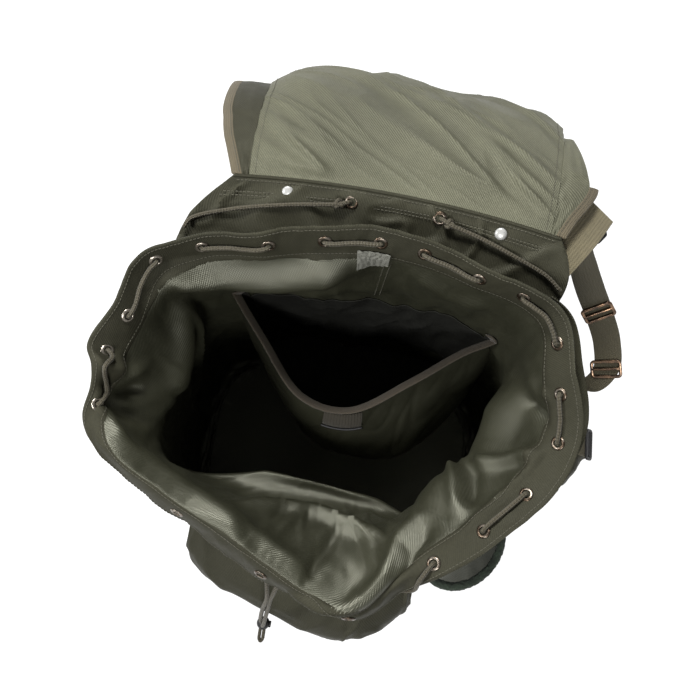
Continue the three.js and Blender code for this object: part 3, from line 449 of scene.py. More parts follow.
def wallCloth(bearing, v, offset=0.0):
    bearing, v = together(bearing, v)
    cells, wide = wallFolds["crinkleCells"], wallFolds["crispCells"]
    u = bearing / 360 * cells
    crinkle = noise(u, v * 36.0, cells) + 0.5 * noise(u * 2, v * 70.0, cells * 2)
    around = bearing / 360 * wide
    shiftU, shiftV = (0.6 * noise(around / 2, v * 5 + start, wide // 2) for start in (1.9, 8.7))
    crisp = np.abs(noise(around + shiftU, v * 9 + shiftV, wide))
    crisp = np.clip(1 - wallFolds["crispSharp"] * crisp, 0, 1) ** 1.5
    height = wallFolds["crinkle"] * crinkle - wallFolds["crisp"] * (crisp - 0.3)
    calm = smooth(v / wallFolds["footSpan"]) * (1 - over(wallFolds["plainSpan"], v))
    listed = smooth(np.abs(foldPush(bearing, v)) / 10)
    height = height * calm * (1 - 0.85 * np.maximum(shelfShare(bearing, v), listed))
    out = wallFacing(bearing, v) * (height + offset)[..., None]
    return wallPoint(bearing, v) + readFolds(bearing, v) + out


# Reach of the folded wall by bearing and height, so that sewn pieces can be held against it
reachBearings = np.linspace(-180, 180, 361)
reachHeights = np.linspace(0, 450, 226)


def wallReachTable():
    b, w = np.meshgrid(reachBearings, np.linspace(0, 0.97, 220), indexing="ij")
    p = wallCloth(b, w)
    r, z = np.hypot(p[..., 0], p[..., 1]), np.maximum.accumulate(p[..., 2], axis=1)
    return np.array([np.interp(reachHeights, zRow, rRow) for zRow, rRow in zip(z, r)])


reachTable = wallReachTable()


def wallReach(p):
    b = (np.degrees(np.arctan2(p[..., 1], p[..., 0])) + 180) / 360 * (len(reachBearings) - 1)
    h = np.clip(p[..., 2] / reachHeights[-1], 0, 1) * (len(reachHeights) - 1)
    i, j = np.minimum(b.astype(int), len(reachBearings) - 2), np.minimum(h.astype(int), len(reachHeights) - 2)
    low = mix(reachTable[i, j], reachTable[i + 1, j], b - i)
    high = mix(reachTable[i, j + 1], reachTable[i + 1, j + 1], b - i)
    return mix(low, high, h - j)


margins = {  # least distance of each piece's middle from the middle of the wall's cloth
    "yoke": 1.8, "strip": 1.8, "pocket": 1.4, "flap": 1.8, "cup": 1.4, "cupFlap": 1.6, "pile": 5.0,
    "web": 1.6, "ringTab": 0.6, "panel": 2.6, "panelTape": 3.2,
}


# Moves points straight out to the wall's outer face, or in to its inner face, where they are past it
def holdBeside(p, margin, pick):
    r = np.hypot(p[..., 0], p[..., 1])
    scale = pick(r, wallReach(p) + margin) / np.maximum(r, 1e-6)
    return np.concatenate([p[..., :2] * scale[..., None], p[..., 2:]], axis=-1)


def holdOutside(p, name):
    return holdBeside(p, margins[name], np.maximum)


def holdInside(p, name):
    return holdBeside(p, -margins[name], np.minimum)


print("wall worked out")

# Finishes: shader maths as Python expressions on wrapped sockets


class Value:
    def __init__(self, finish, socket):
        self.finish = finish
        self.socket = socket

    def maths(self, operation, *values):
        return self.finish.add("ShaderNodeMath", {"operation": operation}, dict(enumerate(values)))

    def __add__(self, other):
        return self.maths("ADD", self, other)

    def __sub__(self, other):
        return self.maths("SUBTRACT", self, other)

    def __mul__(self, other):
        return self.maths("MULTIPLY", self, other)

    def sine(self):
        return self.maths("SINE", self)

    def clamp(self):
        held = self + 0.0
        held.socket.node.use_clamp = True
        return held


def rgb(colour, share=1.0):
    return tuple(c * share for c in colour) + (1.0,)


class Finish:
    def __init__(self, name):
        self.material = bpy.data.materials.new(name)
        self.material.use_nodes = True
        self.tree = self.material.node_tree
        self.tree.nodes.clear()
        self.shader = self.tree.nodes.new("ShaderNodeBsdfPrincipled")
        output = self.tree.nodes.new("ShaderNodeOutputMaterial")
        self.tree.links.new(self.shader.outputs[0], output.inputs[0])

    def add(self, kind, settings, sockets, out=0):
        node = self.tree.nodes.new(kind)
        for key, value in settings.items():
            if key == "stops":
                self.setStops(node.color_ramp, value)
            else:
                setattr(node, key, value)
        for key, value in sockets.items():
            self.feed(node.inputs[key], value)
        return Value(self, node.outputs[out])

    def setStops(self, ramp, stops):
        while len(ramp.elements) < len(stops):
            ramp.elements.new(0.5)
        for i, (element, colour) in enumerate(zip(ramp.elements, stops)):
            element.position = i / (len(stops) - 1)
            element.color = colour

    def feed(self, socket, value):
        if isinstance(value, Value):
            self.tree.links.new(value.socket, socket)
        else:
            socket.default_value = value

    def surface(self, **sockets):
        for key, value in sockets.items():
            self.feed(self.shader.inputs[key.replace("_", " ")], value)
        return self.material

    def place(self):
        return self.add("ShaderNodeTexCoord", {}, {}, 3)

    def weave(self):
        uv = self.add("ShaderNodeUVMap", {"uv_map": "weave"}, {})
        across = self.add("ShaderNodeSeparateXYZ", {}, {0: uv})
        return across, Value(self, across.socket.node.outputs[1])

    # Soft noise on both sides of zero
    def cloud(self, scale, detail=3.0, roughness=0.55):
        sockets = {"Vector": self.place(), "Scale": scale, "Detail": detail, "Roughness": roughness}
        return self.add("ShaderNodeTexNoise", {"noise_dimensions": "3D"}, sockets) - 0.5

    def blend(self, factor, first, second):
        return self.add("ShaderNodeMix", {"data_type": "RGBA"}, {0: factor, 6: first, 7: second}, 2)

    # Colour by tone: shares of one colour at even steps from 0 to 1
    def tint(self, tone, colour, *shares):
        stops = [rgb(colour, share) for share in shares]
        return self.add("ShaderNodeValToRGB", {"stops": stops}, {0: tone.clamp()})

    def bump(self, height, strength, distance):
        return self.add("ShaderNodeBump", {}, {"Strength": strength, "Distance": distance, "Height": height})


satinTint = (1.0, 1.0, 0.82, 1.0)


# Coated twill: diagonal ribs on the piece's own UV in metres, with cross threads, cloudy tone and dust
def twillFinish(name, colour, pitch, lean, cloudy, ribTone, roughness, bump, sheen, coat, gloss):
    f = Finish(name)
    across, along = f.weave()
    turn = 2 * math.pi / pitch
    rib = (across * turn + along * (turn * lean)).sine()
    cross = (across * (turn * 0.9) - along * (turn * 1.7)).sine()
    broad, fine = f.cloud(9.0, 4.0), f.cloud(120.0, 3.0, 0.6)
    streak, grain = f.cloud(38.0, 4.0, 0.65), f.cloud(650.0, 2.0, 0.6)
    tone = broad * cloudy + streak * 0.35 + grain * 1.1 + rib * ribTone + 0.5
    return f.surface(
        Base_Color=f.tint(tone, colour, 0.62, 1.0, 1.42),
        Roughness=(streak * 0.22 + fine * 0.14 + roughness).clamp(),
        Normal=f.bump(rib * 0.5 + cross * 0.22 + fine * 0.8 + streak * 1.2, bump, 0.0006),
        Sheen_Weight=sheen, Sheen_Roughness=0.45, Coat_Weight=coat, Coat_Roughness=0.34,
        Specular_IOR_Level=gloss, Specular_Tint=satinTint, Coat_Tint=satinTint, Sheen_Tint=satinTint,
    )


# Webbing: ribs across the strap crossed with cords along it, and worn lighter threads
def webbingFinish(name, colour, ribPitch, cordPitch, roughness):
    f = Finish(name)
    across, along = f.weave()
    cord = (across * (2 * math.pi / cordPitch)).sine()
    woven = (along * (2 * math.pi / ribPitch)).sine() * cord
    broad, fine = f.cloud(14.0, 4.0), f.cloud(220.0, 3.0, 0.6)
    return f.surface(
        Base_Color=f.tint(broad * 0.7 + fine * 0.5 + woven * 0.10 + 0.5, colour, 0.6, 1.0, 1.45),
        Roughness=(fine * 0.2 + roughness).clamp(), Sheen_Weight=0.08, Sheen_Roughness=0.5,
        Normal=f.bump(woven * 0.7 + cord * 0.5 + fine * 0.9, 0.5, 0.0007),
    )


# Braided cord: two families of slanting strands round the tube
def braidFinish(name, colour, strands, lay):
    f = Finish(name)
    across, along = f.weave()
    around, run = across * (2 * math.pi * strands), along * (2 * math.pi / lay)
    plait = (around + run).sine() * (around - run).sine()
    fine, broad = f.cloud(300.0, 3.0, 0.6), f.cloud(30.0, 3.0)
    return f.surface(
        Base_Color=f.tint(plait * 0.24 + fine * 0.5 + broad * 0.5 + 0.5, colour, 0.5, 1.0, 1.5),
        Roughness=0.68, Normal=f.bump(plait * 0.8 + fine * 0.5, 0.7, 0.0008),
        Sheen_Weight=0.08, Sheen_Roughness=0.5,
    )


# Worn metal: dark plating that thins to bright metal in patches, and brighter metal towards the left of the
# bag if asked
def metalFinish(name, dark, bright, patchScale, share, metallic=0.92, leftBright=False):
    f = Finish(name)
    patch, fine = f.cloud(patchScale, 5.0, 0.6), f.cloud(420.0, 3.0, 0.7)
    worn = (patch * 3.2 + share).clamp()
    # brighter metal towards the left of the bag, by its place in x
    if leftBright:
        x = f.add("ShaderNodeSeparateXYZ", {}, {0: f.place()})
        worn = (worn + (x * -14.0 - 1.6).clamp() * 0.85).clamp()
    return f.surface(
        Base_Color=f.blend(worn, rgb(dark), rgb(bright)), Metallic=metallic,
        Roughness=(fine * 0.3 - worn * 0.08 + 0.36).clamp(), Normal=f.bump(fine + patch * 0.6, 0.18, 0.0004),
    )


# Moulded plastic: fine grain, a little paler where it is rubbed
def plasticFinish(name, colour):
    f = Finish(name)
    grain, broad = f.cloud(520.0, 3.0, 0.6), f.cloud(60.0, 3.0)
    return f.surface(
        Base_Color=f.tint(broad * 0.8 + 0.45, colour, 1.0, 2.4),
        Roughness=(grain * 0.25 + 0.52).clamp(), Normal=f.bump(grain, 0.25, 0.0004),
    )


# Deep pile: clumped dark fibres
def pileFinish(name, colour):
    f = Finish(name)
    tuft, clump = f.cloud(210.0, 4.0, 0.7), f.cloud(55.0, 3.0, 0.6)
    return f.surface(
        Base_Color=f.tint(tuft * 1.3 + clump * 0.9 + 0.5, colour, 0.25, 1.0, 2.2),
        Roughness=0.95, Normal=f.bump(tuft + clump, 1.0, 0.002), Sheen_Weight=0.1, Sheen_Roughness=0.6,
    )


twillRows = {  # name, colour, pitch, lean, cloudy, rib tone, roughness, bump, sheen, coat, gloss
    "inside": ("coatedInside", (0.019, 0.0192, 0.0114), 0.0020, 0.75, 1.0, 0.14, 0.44, 0.28, 0.0, 0.0, 0.85),
    "outside": ("oliveTwill", (0.021, 0.0200, 0.0120), 0.0024, 0.75, 1.0, 0.18, 0.60, 0.34, 0.0, 0.0, 0.30),
    "hem": ("hemTwill", (0.018, 0.0170, 0.0100), 0.0020, 0.75, 1.0, 0.18, 0.74, 0.28, 0.0, 0.0, 0.34),
    # lid: the olive twill painted about three times paler than the outer twill, as painted light on the lid,
    # which faces up into the lamps
    "lid": ("lidTwill", (0.074, 0.0735, 0.049), 0.0025, 0.8, 1.5, 0.32, 0.56, 0.5, 0.0, 0.0, 0.42),
    "lining": ("darkLining", (0.006, 0.006, 0.006), 0.0016, 1.0, 0.6, 0.08, 0.7, 0.4, 0.0, 0.0, 0.3),
    "grey": ("greyCloth", (0.045, 0.047, 0.041), 0.0018, 1.0, 0.7, 0.1, 0.5, 0.4, 0.2, 0.05, 0.45),
    "tag": ("paleTag", (0.14, 0.14, 0.125), 0.0009, 1.0, 1.8, 0.05, 0.5, 0.25, 0.2, 0.05, 0.5),
}
webbingRows = {  # name, colour, rib pitch, cord pitch, roughness
    "webbing": ("oliveWebbing", (0.060, 0.052, 0.029), 0.0021, 0.0030, 0.78),
    "tanWebbing": ("tanWebbing", (0.118, 0.100, 0.056), 0.0021, 0.0030, 0.78),
    "tape": ("tanTape", (0.082, 0.067, 0.039), 0.0014, 0.0022, 0.82),
    "pocketTape": ("brownTape", (0.026, 0.0185, 0.0090), 0.0014, 0.0022, 0.82),
    # painted shade: the olive webbing darkened to about a third, for the pocket tab that lies in shade
    "dimWebbing": ("dimWebbing", (0.022, 0.0175, 0.0095), 0.0021, 0.0030, 0.8),
    "thread": ("oliveThread", (0.046, 0.043, 0.026), 0.0007, 0.0009, 0.7),
}
metalRows = {  # name, dark, bright, patch scale, worn share, metallic, brighter towards the left
    "eyelet": ("agedEyelet", (0.070, 0.050, 0.034), (0.44, 0.40, 0.34), 130.0, 0.06, 0.92, True),
    "metal": ("copperBuckle", (0.085, 0.060, 0.045), (0.40, 0.25, 0.15), 90.0, 0.30),
    "stud": ("paleStud", (0.30, 0.30, 0.285), (0.40, 0.40, 0.385), 160.0, 0.6, 0.25),
}
finishes = {
    "cord": braidFinish("oliveCord", (0.044, 0.037, 0.020), 4, 0.0056),
    "plastic": plasticFinish("blackPlastic", (0.0035, 0.0035, 0.0038)),
    "pile": pileFinish("greenPile", (0.020, 0.030, 0.019)),
}
for maker, rows in ((twillFinish, twillRows), (webbingFinish, webbingRows), (metalFinish, metalRows)):
    finishes.update({key: maker(*row) for key, row in rows.items()})
print("finishes made")

# Meshes from grids


def signedVolume(verts, faces):
    total = 0.0
    for k in range(1, faces.shape[1] - 1):
        a, b, c = verts[faces[:, 0]], verts[faces[:, k]], verts[faces[:, k + 1]]
        total += float((a * np.cross(b, c)).sum())
    return total


class Patch:
    def __init__(self):
        self.verts, self.faces, self.uv, self.mats = [], [], [], []
        self.count = 0

    # Adds faces of one size with a UV for each corner, then caps of one face each
    def add(self, verts, faces, uv=None, mat=0, caps=()):
        uv = np.zeros(faces.shape + (2,)) if uv is None else uv
        for group, corners, tag in [(faces, uv, mat), *caps]:
            self.faces.append(group + self.count)
            self.uv.append(corners.reshape(-1, 2))
            self.mats.append(np.broadcast_to(tag, len(group)))
        self.verts.append(verts.reshape(-1, 3))
        self.count += len(self.verts[-1])

    # Adds like bodies, one for each row of verts, turned outwards
    def addBodies(self, verts, quads, mat=0):
        count, each = verts.shape[:2]
        if signedVolume(verts[0] - verts[0].mean(0), quads) < 0:
            quads = quads[:, ::-1]
        self.add(verts, (quads[None] + (np.arange(count) * each)[:, None, None]).reshape(-1, 4), mat=mat)

    # Adds a body through a row of rings, turned outwards and closed at both ends
    def addRings(self, ring, uv=None, mat=0):
        count, sides = ring.shape[:2]
        quads, foot = gridQuads(count, sides, True), np.arange(sides)
        uv = np.zeros(quads.shape + (2,)) if uv is None else uv
        turn = 1 if signedVolume((ring - ring.mean((0, 1))).reshape(-1, 3), quads) > 0 else -1
        capUv = np.zeros((sides, 2))
        caps = [(end[None], capUv, mat) for end in (foot[::-turn], (foot + (count - 1) * sides)[::turn])]
        self.add(ring, quads[:, ::turn], uv[:, ::turn], mat, caps)

    def make(self, name, looks, slot, replaces=(), sharp=50.0):
        mesh = bpy.data.meshes.new(name)
        faces = [face for group in self.faces for face in group.tolist()]
        mesh.from_pydata((np.concatenate(self.verts) * mm).tolist(), [], faces)
        layer = mesh.uv_layers.new(name="weave")
        layer.data.foreach_set("uv", np.concatenate(self.uv).astype(np.float32).ravel())
        for look in looks:
            mesh.materials.append(finishes[look])
        mesh.polygons.foreach_set("material_index", np.concatenate(self.mats).astype(np.int32))
        mesh.polygons.foreach_set("use_smooth", np.ones(len(faces), bool))
        mesh.set_sharp_from_angle(angle=math.radians(sharp))
        mesh.validate()
        piece = link(bpy.data.objects.new(name, mesh))
        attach(piece, "root")
        if replaces:
            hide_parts(*replaces)
        return piece


# Cloth UV in metres: mean length of the steps across and along the grid, from its corner
def clothUv(grid, closed=False):
    wide = np.concatenate([grid, grid[:, :1]], axis=1) if closed else grid
    across = np.linalg.norm(np.diff(wide, axis=1), axis=2).mean(axis=0)
    along = np.linalg.norm(np.diff(wide, axis=0), axis=2).mean(axis=1)
    u, v = (np.concatenate([[0], np.cumsum(steps)]) * mm for steps in (across, along))
    return np.stack(np.meshgrid(u, v), axis=-1)


def quadUv(uv):
    return np.stack([uv[:-1, :-1], uv[:-1, 1:], uv[1:, 1:], uv[1:, :-1]], axis=2).reshape(-1, 4, 2)


def gridFacing(grid, closed=False):
    if closed:
        across = np.roll(grid, -1, axis=1) - np.roll(grid, 1, axis=1)
    else:
        across = np.gradient(grid, axis=1)
    return unit(np.cross(across, np.gradient(grid, axis=0)))


rimBulge = 0.4  # of the cloth's thickness


# Cloth with two faces: the grid moved half a thickness to each side along its facing, and rounded rims
def shell(patch, grid, thick, closed=False, mats=(0, 0, 0), capFoot=False):
    rows, cols = grid.shape[:2]
    flat, facing, n = grid.reshape(-1, 3), gridFacing(grid, closed).reshape(-1, 3), rows * cols
    half = np.broadcast_to(thick, (rows, cols)).reshape(-1, 1) / 2
    quads, uv = gridQuads(rows, cols, closed), clothUv(grid, closed)
    index, flatUv = np.arange(n).reshape(rows, cols), uv[:, :cols].reshape(-1, 2)
    if closed:
        loops = [index[-1][::-1]] if capFoot else [index[0], index[-1][::-1]]
    else:
        loops = [np.concatenate([index[0], index[1:, -1], index[-1, -2::-1], index[-2:0:-1, 0]])]
    verts, start = [flat + facing * half, flat - facing * half], 2 * n
    faces, corners = [quads, quads[:, ::-1] + n], [quadUv(uv), quadUv(uv)[:, ::-1]]
    for loop in loops:
        after, middle = np.roll(loop, -1), start + np.arange(len(loop))
        ahead = np.roll(middle, -1)
        out = np.cross(unit(flat[after] - flat[np.roll(loop, 1)]), facing[loop])
        verts.append(flat[loop] + out * half[loop] * 2 * rimBulge)
        faces.append(np.stack([after, loop, middle, ahead], -1))
        faces.append(np.stack([ahead, middle, loop + n, after + n], -1))
        corners += [np.stack([flatUv[after], flatUv[loop], flatUv[loop], flatUv[after]], 1)] * 2
        start += len(loop)
    tags = np.repeat(mats, [len(quads), len(quads), sum(len(group) for group in faces[2:])])
    ring = index[:1, ::-1]
    caps = [(ring, flatUv[ring], mats[0]), (index[:1] + n, flatUv[index[:1]], mats[1])] if capFoot else []
    patch.add(np.concatenate(verts), np.concatenate(faces), np.concatenate(corners), tags, caps)


# Piece made of one sheet of cloth
def addCloth(name, grid, thick, looks, slot="cloth", nodes=(), sharp=50.0, **ends):
    patch = Patch()
    shell(patch, grid, thick, **ends)
    return patch.make(name, looks, slot, nodes, sharp)


# Rings that close a form at its foot: its lowest ring drawn in to the middle, at one height
def footRings(ring, middle, first, count, z):
    share = np.linspace(first, 1, count, endpoint=False)[:, None, None]
    plan = middle + (ring[None, :, :2] - middle) * share
    return np.concatenate([plan, np.full(plan.shape[:2] + (1,), float(z))], axis=2)


# Frame of a path: its tangent, and two directions square to it, the first near the reference
def pathFrames(path, reference):
    tangent = unit(np.gradient(path, axis=0))
    reference = np.broadcast_to(np.asarray(reference, float), path.shape)
    first = unit(reference - (reference * tangent).sum(1, keepdims=True) * tangent)
    return tangent, first, np.cross(tangent, first)


# Round cord along a path: circles square to it, with rounded ends
def tube(patch, path, radius, reference=(0, 0, 1), mat=0, sides=10):
    tangent, first, second = pathFrames(path, reference)
    lean = np.radians([80, 55, 28])[:, None]
    small, past = radius * np.cos(lean), radius * np.sin(lean)
    c = np.concatenate([path[:1] - tangent[:1] * past, path, path[-1:] + tangent[-1:] * past[::-1]])
    r = np.concatenate([small, np.full((len(path), 1), float(radius)), small[::-1]])[:, None]
    f, s = (np.pad(side, ((3, 3), (0, 0)), "edge")[:, None] for side in (first, second))
    turn = fullTurn(sides)[None, :, None]
    uv = np.stack(np.meshgrid(np.linspace(0, 1, sides + 1), runAlong(c) * mm), axis=-1)
    patch.addRings(c[:, None] + r * (np.cos(turn) * f + np.sin(turn) * s), quadUv(uv), mat)


# Turned pieces: a closed outline (reach, height) turned about the axis of each seat
def turned(patch, outline, seats, axes, sides):
    seats, axes = np.atleast_2d(seats), unit(np.atleast_2d(axes))
    helper = np.where(np.abs(axes[:, 2:]) < 0.9, [[0.0, 0.0, 1.0]], [[1.0, 0.0, 0.0]])
    first = unit(np.cross(axes, helper))
    turn = fullTurn(sides)[None, :, None]
    around = first[:, None] * np.cos(turn) + np.cross(axes, first)[:, None] * np.sin(turn)
    r, h = np.asarray(outline, float).T[..., None, None]
    verts = seats[:, None, None] + around[:, None] * r + axes[:, None, None] * h
    quads = gridQuads(len(outline) + 1, sides, True) % (len(outline) * sides)
    patch.addBodies(verts.reshape(len(seats), -1, 3), quads)


# Flat frame: a rounded section carried round a rounded rectangle that lies across and along a seat
def ringFrame(patch, seat, across, along, up, wide, long, bar, thick, middleBar=False):
    def blunt(wave, size):
        return np.sign(wave) * np.abs(wave) ** 0.6 * size / 2

    turn, lap = fullTurn(72)[:, None], fullTurn(12)
    x, y = (wide - bar) / 2, (long - bar) / 2
    bend = min(3.0, x * 0.9, y * 0.9)
    px, py = (
        np.sign(wave) * (reach - bend) + wave * (bend + blunt(np.cos(lap), bar))
        for wave, reach in ((np.cos(turn), x), (np.sin(turn), y))
    )
    ph = np.broadcast_to(blunt(np.sin(lap), thick) + thick / 2, px.shape)
    verts = seat + px[..., None] * across + py[..., None] * along + ph[..., None] * up
    patch.addBodies(verts.reshape(1, -1, 3), gridQuads(len(turn) + 1, len(lap), True) % px.size)
    if middleBar:
        line = seat + np.linspace(-x, x, 9)[:, None] * across + up * (thick / 2)
        tube(patch, line, bar * 0.42, up)


spindle = np.array([  # share of the stitch's pitch, share of its thickness
    (-0.42, 0.25), (-0.3, 0.8), (0.0, 1.0), (0.3, 0.8), (0.42, 0.25),
])


# Stitches: small spindles that lie along a line on the cloth, one for each step
def stitches(patch, line, facing, thick=0.45, mat=0, pitch=3.6, proud=0.25):
    run = runAlong(line)
    count = max(2, int(run[-1] / pitch))
    at = (np.arange(count) + 0.5) / count * run[-1]
    place, face, tangent = (readAlong(at, run, rows) for rows in (line, facing, np.gradient(line, axis=0)))
    face, tangent = unit(face), unit(tangent)
    turn, (step, wide) = fullTurn(6), spindle.T[..., None] * [[[pitch]], [[thick]]]
    template = pointAt(step, wide * np.cos(turn), wide * np.sin(turn) * 0.8)
    basis = np.stack([tangent, np.cross(face, tangent), face], 1)
    verts = place[:, None] + face[:, None] * proud + np.einsum("vk,nkc->nvc", template.reshape(-1, 3), basis)
    patch.addBodies(verts, gridQuads(len(spindle), len(turn), True), mat)


# Row of stitches that stands off a line, on one side of the cloth or both
def seamRow(patch, line, face, lift, signs=(1,), mat=0):
    for sign in signs:
        stitches(patch, line + face * (sign * lift), face * sign, mat=mat)


# Facing of a surface: square to small steps across and along it; towards turns it to one side
def facingOf(place, s, t, step=0.004):
    across = place(np.minimum(1, s + step), t) - place(np.maximum(0, s - step), t)
    along = place(s, np.minimum(1, t + step)) - place(s, np.maximum(0, t - step))
    return unit(np.cross(across, along))


def towards(face, way):
    return face * np.where((face * way).sum(-1, keepdims=True) < 0, -1, 1)


# Drawstring: laced through the rim's eyelets, both ends brought to a ball lock in front

laceSet = {
    "radius": 2.2, "pass": 3.4, "stand": 5.4, "rest": 5.2, "near": 9.0 / 3.3, "nearShare": 0.3,
    "spacing": 6.5,
    "firstLaced": 1, "lastLaced": 17, "notch": 16, "notchShare": 0.22, "notchAt": 0.965, "notchRest": 6.7,
}
eyeletBearings = np.array([
    -75, -44, -26, -11, 4, 16, 28, 42, 53, 70, 84, 102, 120, 137, 148, 163, 173, 186, 220, 255,
], float)
lockSet = {"place": (-42, -204, 172), "radius": 7.2, "spread": 2.6, "groove": 0.07, "loop": 1.9}
laceFirst = [(-39.5, -203.5, 206), (-33, -182, 286), (-28, -165, 334)]
laceLast = [(-33, -165, 334), (-38, -182, 286), (-43, -199.5, 206)]
laceUnder = [  # bearing, v, stand off, past the edge: beneath the rolled hem, then over its edge
    (-97, 0.95, 6.0, 0), (-86, 0.93, 5.4, 0), (-72, 0.93, 5.4, 0), (-61, 0.96, 5.4, 0),
    (-54.5, 1.0, 1.0, 4.6),
    (-50, 0.955, -5.2, 0),
]
laceHome = [
    (200, 0.92, 5.4, 0), (213, 0.92, 5.4, 0), (227, 0.92, 5.4, 0), (241, 0.93, 5.4, 0), (254, 0.95, 6.0, 0),
]


# Lace rows: through each eyelet along its axis, then beside the hem to the next one
def laceRows():
    rows = list(laceUnder)

    def put(bearing, out, at=hemMiddle):
        rows.append((bearing, at, out, 0.0))

    for i in range(laceSet["firstLaced"], laceSet["lastLaced"] + 1):
        bearing, side = eyeletBearings[i], 1 if i % 2 == 0 else -1
        put(bearing, side * laceSet["pass"])
        put(bearing, -side * laceSet["pass"])
        if i == laceSet["lastLaced"]:
            break
        gap = eyeletBearings[i + 1] - bearing
        near = min(laceSet["nearShare"] * gap, laceSet["near"])
        put(bearing + near, -side * laceSet["stand"])
        stops = max(0, round(gap / laceSet["spacing"]) - 1)
        shares, at, rest = np.arange(1, stops + 1) / (stops + 1), hemMiddle, laceSet["rest"]
        if i == laceSet["notch"]:
            shares, at, rest = [laceSet["notchShare"]], laceSet["notchAt"], laceSet["notchRest"]
        for share in shares:
            put(mix(bearing + near, bearing + gap - near, share), -side * rest, at)
        put(bearing + gap - near, -side * laceSet["stand"])
    return np.array(rows + laceHome, float)


def addDrawstring():
    b, v, out, past = laceRows().T
    ups = unit(wallPoint(b, v) - wallPoint(b, v - 0.01))
    points = wallPoint(b, v) + wallFacing(b, v) * out[:, None] + ups * past[:, None]
    top = math.sqrt(lockSet["radius"] ** 2 - lockSet["spread"] ** 2) + seamGap
    x, y, z = lockSet["place"]
    front = [(x, y - lockSet["spread"], z + top), *laceFirst]
    back = [*laceLast, (x, y + lockSet["spread"], z + top)]
    ref = [(0.3, 1, 0.2)]
    route, ref = [*front, *points, *back], ref * len(front) + [*ups] + ref * len(back)
    t = np.linspace(0, 1, 12 * (len(route) - 1) + 1)
    path, reference = lineThrough(route)(t), unit(lineThrough(ref)(t))
    patch = Patch()
    tube(patch, path, laceSet["radius"], reference)
    piece = patch.make("drawstring_cord", ["cord"], "cord", ["drawstring"], 60)
    path[0] * mm
    path * mm


lockButton = [(0.02, 0), (3.3, 0), (3.6, 0.4), (3.6, 1.6), (3.2, 2.1), (0.02, 2.2)]
lockLoop = [  # across, share out and share down
    (-2, 0, 0), (-2.1, 0.45, 0.5), (-1.7, 0.85, 0.9), (0, 1, 1),
    (1.7, 0.85, 0.9), (2.1, 0.45, 0.5), (2, 0, 0),
]


def addLock():
    x, y, z = lockSet["place"]
    r = lockSet["radius"]
    patch = Patch()
    turn = np.radians(np.linspace(2, 178, 20))
    reach, height = r * np.sin(turn), -r * np.cos(turn)
    reach = reach * (1 - lockSet["groove"] * np.exp(-((height / 0.9) ** 2)))
    turned(patch, np.stack([reach, height], -1), (x, y, z), (0, 0, 1), 32)
    turned(patch, lockButton, (x + r - 1.0, y, z), (1, 0, 0), 24)
    loop = [(x + a, y - r + 1.6 - 14 * out, z - 5 * fall) for a, out, fall in lockLoop]
    tube(patch, evenLine(loop, 48), lockSet["loop"], mat=1)
    patch.make("ball_lock", ["plastic", "cord"], "black_plastic", ["cord_lock"], 40)


addDrawstring()
addLock()
print("drawstring laced")

# The bag: one hollow cloth form, closed at the base, under a separate stitched hem

bagSet = {"columns": 376, "rows": 112, "floorRows": 10, "floorZ": 1.05, "thick": 2.0, "top": 0.848}


def addBag():
    wall = wallCloth(*ringPlaces(bagSet["columns"], bagSet["rows"], 0, bagSet["top"]))
    wall[..., 2] = np.maximum(wall[..., 2], bagSet["thick"] / 2)
    floor = footRings(wall[0], np.zeros(2), 0.012, bagSet["floorRows"], bagSet["floorZ"])
    grid = np.concatenate([floor, wall])
    addCloth(
        "bag_cloth", grid, bagSet["thick"], ["outside", "inside"], nodes=["bag_shell"], sharp=55,
        closed=True, mats=(0, 1, 0), capFoot=True,
    )


hemSet = {
    "columns": 640, "rows": 22, "low": 0.832, "thick": 3.4, "pucker": 1.0, "cells": 64,
    "seams": (0.848, 0.985), "wallSeam": (82, 80), "wallSeamRise": (0.69, 0.825),
}


# Hem: the wall's upper strip, doubled, with small puckers that are calm round each eyelet
def hemGrid(bearing, v, offset=0.0):
    cells = hemSet["cells"]
    u = (bearing % 360) / 360 * cells
    pucker = noise(u, v * 9.0 + 5.0, cells) + 0.5 * noise(u * 2, v * 16.0 + 9.0, cells * 2)
    gap = np.min(np.abs(turnFrom(eyeletBearings, bearing[..., None])), axis=-1)
    calm = smooth((gap * 3.4 - 5) / 9)
    foot = smooth((v - hemSet["low"]) / 0.05)
    height = hemSet["pucker"] * pucker * (0.25 + 0.75 * calm) * (0.08 + 0.92 * foot)
    return wallPoint(bearing, v) + wallFacing(bearing, v) * (height + offset)[..., None]


def addHem():
    b, v = ringPlaces(hemSet["columns"], hemSet["rows"], hemSet["low"], 1)
    edge = np.minimum((v - hemSet["low"]) / 0.03, (1.0 - v) / 0.012)
    thick = hemSet["thick"] * (0.62 + 0.38 * smooth(edge))
    addCloth("bag_hem", hemGrid(b, v), thick, ["outside", "hem"], sharp=55, closed=True, mats=(0, 1, 0))
    seam = Patch()
    ring = np.linspace(0, 360, 1000)
    for at in hemSet["seams"]:
        v = np.full(ring.shape, at)
        seamRow(seam, hemGrid(ring, v), wallFacing(ring, v), hemSet["thick"] / 2, (1, -1))
    bearing, rise = (np.linspace(*hemSet[key], 120) for key in ("wallSeam", "wallSeamRise"))
    for turn in (-1.0, 1.0):
        line = wallCloth(turn + bearing, rise, -bagSet["thick"] / 2)
        stitches(seam, line, -wallFacing(np.full(rise.shape, np.mean(hemSet["wallSeam"])), rise), 0.5)
    seam.make("hem_stitches", ["thread"], "cloth")


addBag()
addHem()
print("bag and hem made")

# Eyelets: rolled metal rings with a barrel through the cloth

eyeletOutline = [
    (3.7, -2.6), (4.0, -2.95), (4.6, -3.05), (5.6, -2.8), (6.5, -2.3), (6.6, -2.0), (6.2, -1.85), (4.6, -1.9),
    (4.6, 1.9), (6.2, 1.85), (6.6, 2.0), (6.5, 2.3), (5.6, 2.8), (4.6, 3.05), (4.0, 2.95), (3.7, 2.6),
]


